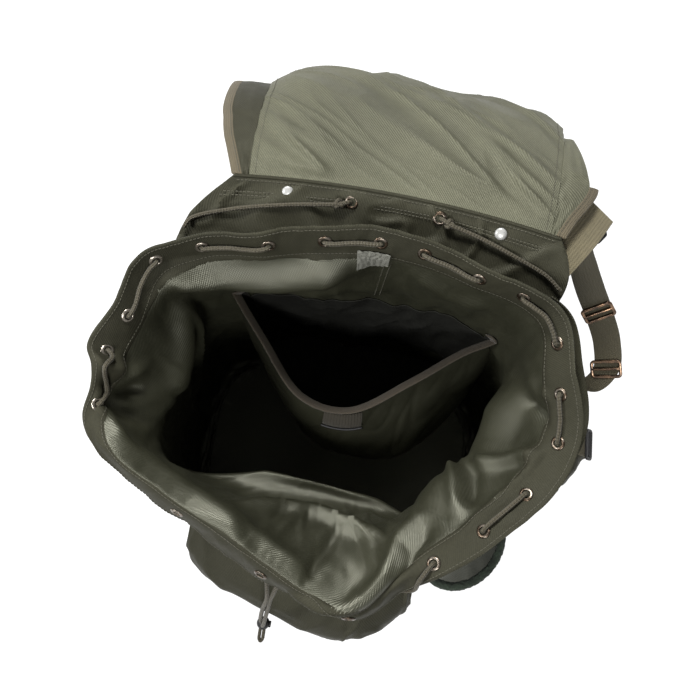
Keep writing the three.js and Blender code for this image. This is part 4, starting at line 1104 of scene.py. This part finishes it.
def addEyelets():
    v = np.full(eyeletBearings.shape, hemMiddle)
    patch = Patch()
    turned(patch, eyeletOutline, wallPoint(eyeletBearings, v), wallFacing(eyeletBearings, v), 36)
    names = [f"rim_eyelet_{i + 1:02d}" for i in range(len(eyeletBearings))]
    patch.make("rim_eyelets", ["eyelet"], "dark_metal", names)


addEyelets()

# Yoke behind the mouth, with its studs, eyelets and ties

yokeSet = {
    "bearings": (147, 35), "sink": 7, "footZ": 402, "thick": 2.2, "depth": 62, "swell": 19, "corner": 5,
    "seams": (0.80, 0.84, 0.965), "seamLift": 1.3, "piping": 1.7,
}
hingeSet = {"left": -126, "right": 176, "yLeft": 201, "yRight": 193, "bow": 11, "z": 436}
studRows = [("snap_stud_left", -71, 8), ("snap_stud_right", 125, 9)]  # node, x, distance before the hinge
studOutline = [(0.05, 0), (5.6, 0), (5.6, 0.7), (5.2, 1.3), (4.2, 1.9), (2.4, 2.3), (0.05, 2.4)]
tieRows = [  # side, x, distance before the hinge, the run's x, far corner
    ("left", -12, 10, (-66, -104, -124), (-163, 150, 424)),
    ("right", 70, 10, (110, 142, 164), (183, 150, 424)),
]
tieSet = {
    "radius": 2.0, "shift": 11, "aside": 6, "lift": 1.4,
    "knot": 5.0, "knotRadius": 1.75, "knotSize": 1.25, "knotRise": 1.7, "knotSink": 1.2,
}


def hingeShare(x):
    return (np.asarray(x, float) - hingeSet["left"]) / (hingeSet["right"] - hingeSet["left"])


def hingePoint(s):
    x = mix(hingeSet["left"], hingeSet["right"], s)
    y = mix(hingeSet["yLeft"], hingeSet["yRight"], s) + hingeSet["bow"] * 4 * s * (1 - s)
    return pointAt(x, y, hingeSet["z"])


# Yoke: straight from the hem's foot to the hinge, bulging at its two ends
def yokePoint(s, t):
    s, t = together(s, t)
    b = mix(*yokeSet["bearings"], s)
    foot = atBearing(b, readHem(b, 1) - yokeSet["sink"], yokeSet["footZ"])
    u = 2 * s - 1
    p = mix(foot, hingePoint(s), t[..., None])
    p[..., 0] += yokeSet["swell"] * np.sign(u) * np.abs(u) ** yokeSet["corner"] * np.sin(np.pi * t)
    return p


# Seat on the yoke's upper face for a place x at the hinge, a distance in front of it
def yokeSeat(x, back, rise):
    s, t = hingeShare(x), 1 - np.asarray(back, float) / yokeSet["depth"]
    up = towards(facingOf(yokePoint, s, t), upwards)
    return yokePoint(s, t) + up * rise, up


def addYoke():
    s, t = places(150, 34)
    grid = yokePoint(s, t)
    x, y = grid[..., 0], grid[..., 1]
    calm = smooth(t / 0.25) * smooth((1 - t) / 0.12)
    grid[..., 2] += (2.4 * noise(x / 34 + 3, y / 30) + 3.6 * ridges(x / 46 + 9, y / 40 + 2)) * calm
    patch = Patch()
    shell(patch, holdOutside(grid, "yoke"), yokeSet["thick"])
    tube(patch, hingePoint(np.linspace(0.004, 0.996, 160)) + [0, 0.4, 0.6], yokeSet["piping"])
    patch.make("yoke_band", ["outside"], "cloth", ["back_yoke"])
    seam = Patch()
    row = np.linspace(0.02, 0.98, 300)
    for at in yokeSet["seams"]:
        face = towards(facingOf(yokePoint, row, np.full(row.shape, at)), upwards)
        seamRow(seam, yokePoint(row, at), face, yokeSet["seamLift"])
    seam.make("yoke_stitches", ["thread"], "cloth")


skirtSet = {"bearings": (39, 1), "sink": 16, "footZ": 372, "lift": 26, "beyond": 13, "swell": (0.3, 0.9)}


# Upper edge of the bag's right side, which shows past the collar
def addSkirt():
    s, t = places(90, 16)
    b = mix(*skirtSet["bearings"], s)
    foot = atBearing(b, readHem(b, 1) - skirtSet["sink"], skirtSet["footZ"])
    width = skirtSet["beyond"] * np.sin(np.pi * mix(*skirtSet["swell"], s))
    far = atBearing(b, readHem(b, 3) + width, readHem(b, 4) - skirtSet["lift"])
    grid = mix(foot, far, t[..., None])
    grid[..., 2] += 1.2 * noise(s * 9, t * 2.5) * smooth(t / 0.3)
    addCloth("right_strip", holdOutside(grid, "strip"), bagSet["thick"], ["outside"])


# Knot about a place: a trefoil that lies square to its up direction
def addKnot(patch, place, up):
    turn = np.linspace(0, 2 * np.pi, 120)[:, None]
    across = unit(np.cross(up, np.array([0.0, 1.0, 0.3])))
    a = (np.sin(turn) + 2 * np.sin(2 * turn)) * tieSet["knotSize"]
    c = (np.cos(turn) - 2 * np.cos(2 * turn)) * tieSet["knotSize"]
    h = -np.sin(3 * turn) * tieSet["knotRise"] - tieSet["knotSink"]
    tube(patch, place + a * across + c * np.cross(up, across) + h * up, tieSet["knotRadius"], up)


def addStudsAndTies():
    half = yokeSet["thick"] / 2
    lay = half + tieSet["radius"] + tieSet["lift"]
    studs, rings = Patch(), Patch()
    for _, x, back in studRows:
        turned(studs, studOutline, *yokeSeat(x, back, half + seamGap), 32)
    studs.make("snap_studs", ["stud"], "stud", [row[0] for row in studRows])
    for side, x, back, run, corner in tieRows:
        turned(rings, eyeletOutline, *yokeSeat(x, back, 0), 36)
    rings.make("band_eyelets", ["eyelet"], "dark_metal", ["band_eyelet_left", "band_eyelet_right"])
    for side, x, back, run, corner in tieRows:
        beside = x + tieSet["shift"] * np.sign(run[0] - x)
        knot, up = yokeSeat(beside, back + 2, half + tieSet["knot"])
        line = [yokeSeat(x, back, -1.0)[0], yokeSeat(mix(x, beside, 0.3), back, 4.4)[0], knot]
        for i, at in enumerate(run):
            line.append(yokeSeat(at, back + tieSet["aside"] * (i + 1), lay)[0])
        cord = Patch()
        tube(cord, evenLine([*line, corner], 160), tieSet["radius"], up)
        addKnot(cord, knot, up)
        cord.make(f"tie_{side}", ["cord"], "cord", [f"tie_cord_{side}"], 60)


addYoke()
addSkirt()
addStudsAndTies()
print("yoke made")

# Lid: hangs from the hinge behind the bag, its lining side up, with boxed sides and tape

lidFall = lineThrough([(1.3, 436), (40, 430), (92, 405), (138, 361), (168, 300), (181, 235), (181, 178)])
lidSet = {
    "thick": 2.0, "seamLeft": -112, "seamRight": 166, "spread": 14, "gap": 0.7, "long": 4.4, "small": 1.8,
    "roundLeft": 0.12, "roundRight": 0.05, "roundFrom": 0.5, "corner": 5, "seams": (0.018, 0.982),
    "size": (280, 330), "slant": (0.62, 0.78), "droop": 10, "droopReach": 40,
}
wingRows = {  # place of the seam, way outwards, rows with tape, look, then the edge as t and reach
    # the right wing takes the lid's paler twill with its painted light; the left wing takes the darker outer
    # twill
    "left": (0.0, -1, 5, "outside", [(0, 6), (0.12, 15), (0.24, 24), (0.36, 29), (0.52, 30)]),
    "right": (1.0, 1, 4, "lid", [
        (0, 4), (0.08, 11), (0.15, 19), (0.23, 27), (0.28, 24), (0.35, 18), (0.44, 9),
    ]),
}
tapeSet = {"width": 9, "thick": 3, "stitch": 0.4, "pitch": 3.4}


# Lid: the fall curve carried from seam to seam, with its two far corners rounded down
def lidPoint(s, t):
    s, t = together(s, t)
    fall = lidFall(t)
    across = mix(lidSet["seamLeft"] - lidSet["spread"] * t, lidSet["seamRight"] + lidSet["spread"] * t, s)
    u = 2 * s - 1
    corner = np.where(u < 0, lidSet["roundLeft"], lidSet["roundRight"]) * np.abs(u) ** lidSet["corner"]
    corner = corner * np.minimum(1, t / lidSet["roundFrom"])
    y = hingePoint(hingeShare(across))[..., 1] + fall[..., 0] * (1 - corner)
    return np.stack([across, y, fall[..., 1]], -1)


# Lid's folds: slanting creases of two sizes on a slow wave, calm at the hinge and the seams
def lidFolds(s, t):
    (wide, long), (a, b) = lidSet["size"], lidSet["slant"]
    x, y = s * wide, t * long
    calm = smooth(t / 0.06) * (0.35 + 0.65 * smooth(s / 0.08) * smooth((1 - s) / 0.08))
    slant, down = x * a + y * b, y * a - x * b
    crease = creases(slant / 46 + 4, down / 190 + 6, 2.6) * lidSet["long"]
    crease = crease + creases(slant / 26 + 14, down / 110 + 16, 2.6) * lidSet["small"]
    return (crease - 1.0 + 3.0 * noise(x / 95 + 2, y / 80 + 5)) * calm


def addLid():
    s, t = places(190, 220)
    grid = lidPoint(s, t) + facingOf(lidPoint, s, t) * lidFolds(s, t)[..., None]
    # the lid's twill with painted light on the first face, the outer twill on the second
    looks = ["lid", "outside"]
    piece = addCloth("lid_cloth", grid, lidSet["thick"], looks, nodes=["lid_panel"], mats=(0, 1, 0))
    seam = Patch()
    row = np.linspace(0.01, 0.99, 300)
    for edge in lidSet["seams"]:
        s = np.full(row.shape, edge)
        up = facingOf(lidPoint, s, row)
        seamRow(seam, lidPoint(s, row) + up * lidFolds(s, row)[:, None], up, lidSet["thick"] / 2, (1, -1))
    seam.make("lid_stitches", ["thread"], "cloth")
    for side, (seamAt, outwards, tapeRows, look, rows) in wingRows.items():
        addWing(side, seamAt, outwards, look, (tapeRows - 1) / (len(rows) - 1), lineThrough(rows))


# Boxed side: cloth from the lid's seam out to the tape, drooping with the square of its reach
def addWing(side, seamAt, outwards, look, tapePart, edge):
    def beside(t, out):
        droop = lidSet["droop"] * (out / lidSet["droopReach"]) ** 2
        return lidPoint(seamAt, t) + pointAt(outwards * (lidSet["gap"] + out), 0.0, -droop)

    a, along = places(34, 120)
    row = edge(along)
    grid = beside(row[..., 0], a * row[..., 1])
    grid[..., 2] += 1.3 * noise(a * 2.2 + 3, along * 7) * smooth(a / 0.2) * smooth((1 - a) / 0.2)
    addCloth(f"lid_side_{side}", grid[:, ::outwards], lidSet["thick"], [look], nodes=[f"lid_wing_{side}"])
    a, along = places(14, 140)
    row = edge(along * tapePart)
    grid = beside(row[..., 0], row[..., 1] + 0.1 + a * tapeSet["width"])
    patch = Patch()
    shell(patch, grid[:, ::outwards], tapeSet["thick"] * (0.72 + 0.28 * np.sin(np.pi * a)))
    row = edge(np.linspace(0.01, 0.99, 160) * tapePart)
    line = beside(row[:, 0], row[:, 1] + 2.2) + 1.45 * upwards
    stitches(patch, line, np.tile(upwards, (len(line), 1)), tapeSet["stitch"], 1, tapeSet["pitch"])
    patch.make(f"lid_tape_{side}", ["tape", "thread"], "tape", [f"lid_binding_{side}"])


addLid()
print("lid hung")

# Pocket on the back wall inside: hangs from both ends and gapes forwards

innerSet = {
    "mouthZ": 326, "sag": 40, "bellyZ": 170, "footZ": 96, "wallY": 150, "thick": 1.6, "tuck": 0.25,
    "size": (330, 260), "lift": 0.7, "tagLift": 1.3, "tagWave": 1.0,
    "tapeLean": 0.5, "tapeThick": 2.6, "tab": (0.44, 0.53), "tabDown": (0.035, 0.11), "tabThick": 2.0,
    "tabSwell": 3.0, "tabBar": 1.5, "tabBarAt": 0.72, "tabBarRise": 4.6,
}
pocketRows = [  # x, mouth's y, belly's y
    (-142, 158, 158), (-122, 127, 116), (-82, 80, 58), (-36, 33, 8), (10, 28, -10), (66, 66, -2),
    (112, 102, 44), (146, 122, 104), (166, 148, 150),
]
pocketMouth = lineThrough([(x, m) for x, m, b in pocketRows])
pocketBelly = lineThrough([(x, b) for x, m, b in pocketRows])
wallPatches = [  # piece, look and slot, node, bearings, v, thickness
    ("pocket_lining", "lining", "inner_pocket_lining", (40, 130), (5 / 12, 8 / 12), 1.0),
    ("blank_tag", "tag", "care_tag", (80, 91), (0.815, 0.868), 0.8),
]


# Pocket panel: at each place across, a spline from the mouth over the belly to the foot on the wall
def pocketPanel(s, t):
    s, t = together(s, t)
    flat = s.ravel()
    (mouthX, mouthY), (x, y) = pocketMouth(flat).T, pocketBelly(flat).T
    tuck, wall, low, belly = (innerSet[key] for key in ("tuck", "wallY", "footZ", "bellyZ"))
    rows = [
        (mouthX, mouthY, innerSet["mouthZ"] - innerSet["sag"] * np.sin(np.pi * flat) ** 2),
        (x, y, belly), (x, mix(y, wall, tuck), mix(low, belly, tuck)), (x, wall, low),
    ]
    points = np.array([np.column_stack(np.broadcast_arrays(*row)) for row in rows], float)
    return splineAt(points, t.ravel()).reshape(s.shape + (3,))


def addInnerPocket():
    s, t = places(170, 110)
    x, z = (share * size for share, size in zip((s, t), innerSet["size"]))
    folds = 3.0 * ridges(x / 60 + 3, z / 85 + 4) + 1.2 * ridges(x / 26 + 8, z / 40 + 2)
    grid = pocketPanel(s, t) + facingOf(pocketPanel, s, t) * (folds * smooth(t / 0.08))[..., None]
    grid = holdInside(grid, "panel")
    looks = ["lining", "inside"]
    addCloth("pocket_panel", grid, innerSet["thick"], looks, nodes=["inner_pocket"], mats=(0, 1, 1))
    a, along = places(12, 220)
    base = pocketPanel(along, 0)
    run = np.gradient(base, axis=0)
    lean = unit(np.stack([run[..., 1], -run[..., 0], 0 * a], -1)) * innerSet["tapeLean"] + 0.5 * upwards
    grid = holdInside(base + unit(lean) * (0.2 + a * tapeSet["width"])[..., None], "panelTape")
    thick = innerSet["tapeThick"] * (0.7 + 0.3 * np.sin(np.pi * a))
    addCloth("pocket_tape", grid, thick, ["pocketTape"], "tape", ["inner_pocket_binding"])
    for name, look, node, bearings, span, thick in wallPatches:
        b, v = places(70, 50, *bearings, *span)
        if look == "tag":
            wave = innerSet["tagWave"] * noise(b * 0.8, v * 90)
            grid = hemGrid(b, v, wave - (hemSet["thick"] / 2 + innerSet["tagLift"] + thick / 2))
        else:
            grid = wallCloth(b, v, -(bagSet["thick"] / 2 + innerSet["lift"] + thick / 2))
        addCloth(name, grid, thick, [look], look, [node])
    addPocketTab()


# Webbing tab on the pocket's front, swollen in the middle, with a bar across it; its webbing is darkened with
# painted shade
def addPocketTab():
    (left, right), down, thick = innerSet["tab"], innerSet["tabDown"], innerSet["tabThick"]
    off = (innerSet["thick"] + thick) / 2 + seamGap

    def inFront(s, t, rise):
        return pocketPanel(s, t) - facingOf(pocketPanel, s, t) * (off + rise)[..., None]

    s, t = places(20, 30, left, right, *down)
    swell = innerSet["tabSwell"] * np.sin(np.pi * (t - down[0]) / (down[1] - down[0]))
    patch = Patch()
    shell(patch, inFront(s, t, swell), thick)
    bar = np.linspace(left - 0.002, right + 0.002, 24)
    line = inFront(bar, mix(*down, innerSet["tabBarAt"]), np.full(bar.shape, innerSet["tabBarRise"]))
    tube(patch, line, innerSet["tabBar"], mat=1)
    patch.make("pocket_tab", ["dimWebbing", "plastic"], "webbing", ["inner_pocket_tab"])


addInnerPocket()
print("inner pocket hung")

# Outer pockets with their flaps: plan along the wall and out from it, and the flap's fall as share out and z

outerSet = {
    "gather": 0.05, "flapOffset": 3.0, "flapEnds": (0.19, 0.83), "thick": 2.0, "seam": 0.955, "seamLift": 1.6,
    "size": (420, 200), "flapSize": (300, 150), "tucks": 90, "tuckDeep": 1.6, "tuckSpan": (0.55, 0.95),
}
pocketSets = {
    "front": {
        "plan": [
            (-133, 56), (-132, 124), (-121, 152), (-44, 184), (38, 201), (60, 195), (94, 170), (108, 142),
            (111, 56),
        ],
        "fall": [(0, 250), (0.5, 238), (0.86, 226), (0.985, 212), (1, 188), (1, 158)],
        "bottom": 16, "top": 204, "root": 56, "order": 1,
    },
    "side": {
        "plan": [(-32, 146), (-28, 216), (-2, 243), (34, 260), (64, 246), (78, 208), (82, 146)],
        "fall": [(0, 282), (0.5, 262), (0.86, 246), (0.985, 233), (1, 212), (1, 186)],
        "bottom": 34, "top": 226, "root": 146, "order": -1,
    },
}


# Two readers for one pocket. Its cloth: the plan scaled out from the root by a swell that closes at the
# bottom. Its flap: the plan moved outwards, carried over the fall's rows down the pocket's face.
def pocketPlaces(which):
    look = pocketSets[which]
    curve, drop = lineThrough(look["plan"]), lineThrough(look["fall"])

    def put(plan, share, z):
        along, out = plan[..., 0], mix(look["root"], plan[..., 1], share)
        return pointAt(along, -out, z) if which == "front" else pointAt(out, along, z)

    def cloth(s, t):
        swell = np.sqrt(1 - (1 - t) ** 3) * (1 - outerSet["gather"] * t**3)
        return put(curve(s), swell, mix(look["bottom"], look["top"], t))

    def flap(s, t):
        w, fall = mix(*outerSet["flapEnds"], s), drop(t)
        run = unit(curve(np.minimum(1, w + 0.0005)) - curve(np.maximum(0, w - 0.0005)))
        plan = curve(w) + outerSet["flapOffset"] * np.stack([-run[..., 1], run[..., 0]], -1)
        return put(plan, fall[..., 0], fall[..., 1])

    return cloth, flap


def addOuterPocket(which):
    cloth, flap = pocketPlaces(which)
    order = pocketSets[which]["order"]

    def put(part, node, grid, height):
        grid = holdOutside(grid - gridFacing(grid) * (height * order)[..., None], part)
        addCloth(f"{which}_{part}_cloth", grid[:, ::-order], outerSet["thick"], ["outside"], nodes=[node])

    s, t = places(150, 90, 0.03, 0.97, 0.008, 1.0)
    x, z = (share * size for share, size in zip((s, t), outerSet["size"]))
    folds = 2.8 * ridges(x / 55 + 5, z / 60 + 3) + 1.3 * ridges(x / 24 + 2, z / 30 + 7)
    gather = outerSet["tuckDeep"] * np.sin(s * outerSet["tucks"]) * over(outerSet["tuckSpan"], t)
    put("pocket", f"{which}_pocket", cloth(s, t), folds * smooth(t / 0.1) + gather)
    s, t = places(130, 70, 0.0, 1.0, 0.03, 1.0)
    x, z = (share * size for share, size in zip((s, t), outerSet["flapSize"]))
    folds = 2.2 * ridges(x / 60 + 15, z / 55 + 9) + 1.0 * noise(x / 22, z / 22)
    put("flap", f"{which}_pocket_flap", flap(s, t), folds * smooth(t / 0.2))
    row, seam = np.linspace(0.02, 0.98, 260), Patch()
    tt = np.full(row.shape, outerSet["seam"])
    line = flap(row, tt)
    seamRow(seam, line, towards(facingOf(flap, row, tt), line * [1, 1, 0]), outerSet["seamLift"])
    seam.make(f"{which}_flap_stitches", ["thread"], "cloth")


for which in pocketSets:
    addOuterPocket(which)

# Round pouch at the right front: cup, grey domed flap and its deep dark edge

pouchSet = {
    "middle": np.array([152, -86]), "along": 43, "across": 33, "turn": -33, "bottom": 44, "top": 208,
    "heel": 14, "heelSpan": 0.16, "thick": 1.8, "margin": -0.6, "flapZ": 214, "dome": 8,
    "edgeWidth": 9, "edgeThick": 7, "edgeReach": 150,
    "columns": 120, "rows": 70, "flapRows": 30, "floorRows": 8, "tufts": (150, 30),
}


# Oval of the pouch, larger by a margin, at an angle from its outermost point
def pouchPoint(angle, margin, z):
    turn, (x, y) = math.radians(pouchSet["turn"]), pouchSet["middle"]
    out = (pouchSet["across"] + margin) * np.cos(angle)
    along = (pouchSet["along"] + margin) * np.sin(angle)
    x = x + out * math.cos(turn) - along * math.sin(turn)
    y = y + out * math.sin(turn) + along * math.cos(turn)
    return pointAt(x, y, z)


def addPouch():
    angle, middle = fullTurn(pouchSet["columns"]), pouchSet["middle"]
    a, r = np.meshgrid(angle, np.linspace(0, 1, pouchSet["rows"]))
    heel = pouchSet["heel"] * (1 - np.sqrt(1 - (1 - np.clip(r / pouchSet["heelSpan"], 0, 1)) ** 2))
    folds = 1.8 * ridges(a / (2 * np.pi) * 9 + 3, r * 5 + 4) * smooth(r / 0.1)
    wall = pouchPoint(a, -heel + folds + pouchSet["margin"], mix(pouchSet["bottom"], pouchSet["top"], r))
    floor = footRings(wall[0], middle, 0.02, pouchSet["floorRows"], pouchSet["bottom"])
    grid = holdOutside(np.concatenate([floor, wall]), "cup")
    ends = {"closed": True, "capFoot": True}
    addCloth("pouch_cup", grid, pouchSet["thick"], ["outside"], nodes=["round_pouch"], **ends)
    a, r = np.meshgrid(angle, np.linspace(0.02, 1, pouchSet["flapRows"]))
    plan = middle + (pouchPoint(a, pouchSet["margin"], 0.0)[..., :2] - middle) * r[..., None]
    dome = pouchSet["dome"] * (1 - r**2.4) + 0.9 * noise(plan[..., 0] / 14, plan[..., 1] / 14)
    grid = holdOutside(np.concatenate([plan, (pouchSet["flapZ"] + dome)[..., None]], 2), "cupFlap")[:, ::-1]
    addCloth("pouch_flap", grid, pouchSet["thick"], ["grey"], "grey_flap", ["round_pouch_flap"], **ends)
    addPile()


# Pile edge: an oval section along the rim, its surface roughened into tufts
def addPile():
    (n, sides), reach = pouchSet["tufts"], math.radians(pouchSet["edgeReach"])
    path = pouchPoint(np.linspace(-reach, reach, n), pouchSet["edgeWidth"] / 2 - 0.5, pouchSet["flapZ"])
    path = holdOutside(path, "pile")
    _, up, side = pathFrames(path, upwards)
    lap, step = fullTurn(sides)[None], np.arange(n)[:, None]
    lump = 1 + 0.22 * noise(step * 0.45, lap * 4.0) + 0.10 * noise(step * 1.1 + 9, lap * 9.0)
    lump = lump * np.sqrt(np.clip(1 - np.abs(np.linspace(-1, 1, n)) ** 14, 0.002, 1))[:, None]
    wide = (pouchSet["edgeWidth"] / 2 * np.cos(lap) * lump)[..., None]
    high = (pouchSet["edgeThick"] / 2 * np.sin(lap) * lump)[..., None]
    patch = Patch()
    patch.addRings(path[:, None] + wide * side[:, None] + high * up[:, None])
    patch.make("pouch_edge", ["pile"], "pile", ["round_pouch_edge"], 80)


addPouch()
print("outer pockets made")

# Straps: middle line and sideways direction of each, with pads behind the bag

strapRows = {
    "pad": [
        ((70, 168, 409.8), (1, 0, 0)), ((71, 190, 407), (1, 0, 0)), ((74, 207, 380), (1, 0, 0)),
        ((80, 212, 320), (0.99, 0, -0.1)), ((88, 208, 255), (0.98, -0.05, -0.15)),
        ((98, 196, 205), (0.97, -0.1, -0.2)),
    ],
    "lower": [
        ((96, 199, 216), (0.97, -0.1, -0.2)), ((112, 178, 140), (0.95, -0.2, -0.2)),
        ((126, 146, 84), (0.94, -0.25, -0.25)), ((132, 104, 52), (0.94, -0.25, -0.25)),
    ],
    "top": [
        ((164, 152, 412.8), (0.82, -0.57, -0.175)), ((178, 172, 422.8), (0.82, -0.57, -0.175)),
        ((199, 206, 416), (0.82, -0.57, 0)), ((215, 237, 402), (0.82, -0.57, -0.1)),
    ],
    "long": [
        ((191, 204, 430), (0.98, 0.1, 0.1)), ((197, 200, 400), (0.98, 0.1, 0.1)),
        ((210, 193, 368), (0.98, 0.1, 0.1)), ((226, 180, 334), (0.9, 0.3, 0.25)),
        ((245, 165, 299), (0.8, 0.4, 0.4)), ((262, 143, 272), (0.85, 0.3, 0.4)),
        ((268, 118, 256), (0.9, 0.1, 0.4)), ((254, 100, 244), (0.8, -0.3, 0.5)),
        ((226, 106, 228), (0.5, -0.6, 0.6)), ((166, 104, 210), (0.1, -0.7, 0.7)),
    ],
}
strapSet = {
    "pad": 52, "padThick": 8, "padSeams": (0.1, 0.9), "padSeamLift": 3.0,
    "web": 27, "webThick": 1.8, "longFrom": 0.064,
}
buckleSet = {"wide": 33, "bar": 3.6, "thick": 2.6}
buckleRows = [  # node, strap, place along it, length, look, slot, stand off the webbing
    ("side_strap_lock", "top", 0.82, 20, "plastic", "black_plastic", 2.8),
    ("side_strap_slide", "long", 0.43, 22, "metal", "dark_metal", 0.6),
    ("side_strap_ring", "long", 0.66, 20, "metal", "dark_metal", 0.6),
]
loopSet = {"across": (0.44, 0.6), "down": (0.3, 0.86), "stand": 3.4}
ringSet = {
    "bearing": -147.0, "v": 0.55, "tabLong": 24, "tabWide": 12, "tabThick": 1.8,
    "wide": 17, "long": 13, "bar": 2.6, "thick": 2.4,
}


def strapPlace(name, width, mirror=1):
    middle, sideways = (lineThrough(rows) for rows in zip(*strapRows[name]))

    def at(s, t):
        s, t = together(s, t)
        p = middle(t) + unit(sideways(t)) * ((s - 0.5) * width)[..., None]
        return p * np.array([mirror, 1, 1])

    return at


def padThickness(s, t):
    edge = np.clip(np.minimum(s, 1 - s) / 0.16, 0, 1)
    ends = np.clip(np.minimum(t, 1 - t) / 0.05, 0, 1)
    return strapSet["padThick"] * (0.28 + 0.72 * np.sqrt(1 - (1 - edge) ** 2) * np.sqrt(1 - (1 - ends) ** 2))


def addShoulder(side, mirror):
    place, pad = strapPlace("pad", strapSet["pad"], mirror), Patch()
    s, t = places(40, 130)
    shell(pad, place(s, t)[:, ::mirror], padThickness(s, t))
    row = np.linspace(0.02, 0.98, 240)
    for edge in strapSet["padSeams"]:
        seamRow(pad, place(edge, row), facingOf(place, edge, row), strapSet["padSeamLift"], (1, -1), 1)
    piece = pad.make(f"shoulder_pad_{side}", ["outside", "thread"], "cloth", [f"shoulder_strap_{side}"])
    grid = strapPlace("lower", strapSet["web"], mirror)(*places(12, 90))
    grid = holdOutside(grid, "web")[:, ::mirror]
    addCloth(f"shoulder_web_{side}", grid, strapSet["webThick"], ["webbing"], "webbing", sharp=40)


def addStraps():
    addShoulder("left", -1)
    addShoulder("right", 1)
    straps = {name: strapPlace(name, strapSet["web"]) for name in ("top", "long")}
    thick = strapSet["webThick"]
    grid = straps["top"](*places(14, 60))
    addCloth("side_strap_flap", grid, thick, ["tanWebbing"], "webbing", ["side_strap_top"])
    grid = holdOutside(straps["long"](*places(14, 220, t0=strapSet["longFrom"])), "web")
    addCloth("side_strap_run", grid, thick, ["webbing"], "webbing", ["side_strap_long"])
    for node, strap, at, long, look, slot, proud in buckleRows:
        addBuckle(node, straps[strap], at, long, look, slot, thick / 2 + proud)
    addSideLoop()
    addLeftRing()


# Buckle on the middle of a strap: its width runs across, and it stands off the cloth
def addBuckle(node, place, at, long, look, slot, standOff):
    up = -facingOf(place, 0.5, at)
    across = unit(place(1.0, at) - place(0.0, at))
    size = (buckleSet["wide"], long, buckleSet["bar"], buckleSet["thick"])
    patch = Patch()
    ringFrame(patch, place(0.5, at) + up * standOff, across, unit(np.cross(up, across)), up, *size, True)
    patch.make(node + "_piece", [look], slot, [node])


def addSideLoop():
    flap = pocketPlaces("side")[1]

    def place(a, t):
        s, down = together(mix(*loopSet["across"], a), mix(*loopSet["down"], t))
        return flap(s, down) + towards(facingOf(flap, s, down), np.array([1, 0, 0])) * loopSet["stand"]

    thick = strapSet["webThick"]
    addCloth("side_loop_web", place(*places(14, 60)), thick, ["webbing"], "webbing", ["side_loop"])
    addBuckle("side_triglide", place, 0.5, 16, "plastic", "black_plastic", thick / 2)


def addLeftRing():
    foot = wallPoint(ringSet["bearing"], ringSet["v"])
    out = atBearing(ringSet["bearing"], 1.0, 0.0)
    side = np.cross(upwards, out)
    s, t = places(10, 24)
    grid = foot + t[..., None] * out * ringSet["tabLong"] + (s - 0.5)[..., None] * side * ringSet["tabWide"]
    grid = holdOutside(grid, "ringTab")
    addCloth("ring_tab", grid, ringSet["tabThick"], ["webbing"], "webbing", ["left_ring_tab"])
    size = [ringSet[key] for key in ("wide", "long", "bar", "thick")]
    seat = foot + out * (ringSet["tabLong"] + ringSet["long"] / 2 + seamGap) - upwards * ringSet["thick"] / 2
    patch = Patch()
    ringFrame(patch, seat, side, -out, upwards, *size)
    patch.make("ring_metal", ["metal"], "dark_metal", ["left_ring"])


addStraps()
print("straps made")

# Studio: a glowing white floor under a weak white sky, and three disk lights: behind, left and in front

studioSet = {"floor": (0.16, 0.16, 0.16), "reach": 30.0, "glow": 0.94, "world": 0.16, "aim": (0, 0.05, 0.3)}
lightRows = [  # name, place, size, power
    ("behind", (-0.5, 1.45, 2.3), 0.7, 90.0),
    ("left", (-1.6, -0.5, 1.7), 0.6, 36.0),
    ("front", (0.1, -1.6, 2.1), 0.7, 40.0),
]
white = (1, 1, 1, 1)


def addStudio():
    mesh = bpy.data.meshes.new("floor")
    r = studioSet["reach"]
    mesh.from_pydata([(-r, -r, 0), (r, -r, 0), (r, r, 0), (-r, r, 0)], [], [(0, 1, 2, 3)])
    f = Finish("paleFloor")
    colour = f.blend(f.cloud(3.0, 4.0) + 0.5, rgb(studioSet["floor"], 0.985), rgb(studioSet["floor"]))
    glow = {"Emission_Color": white, "Emission_Strength": studioSet["glow"]}
    mesh.materials.append(f.surface(Base_Color=colour, Roughness=0.9, **glow))
    floor = link(bpy.data.objects.new("floor", mesh))
    world = bpy.data.worlds.new("studio")
    world.use_nodes = True
    sky = world.node_tree.nodes["Background"]
    sky.inputs[0].default_value = white
    sky.inputs[1].default_value = studioSet["world"]
    bpy.context.scene.world = world
    for name, place, size, power in lightRows:
        data = bpy.data.lights.new(name, "AREA")
        data.shape = "DISK"
        data.size = size
        data.energy = power
        light = link(bpy.data.objects.new(name, data))
        aim = (Vector(studioSet["aim"]) - Vector(place)).to_track_quat("-Z", "Y")
        light.matrix_world = Matrix.Translation(place) @ aim.to_matrix().to_4x4()
    bpy.context.scene.view_settings.view_transform = "Standard"


addStudio()
print("studio lit")
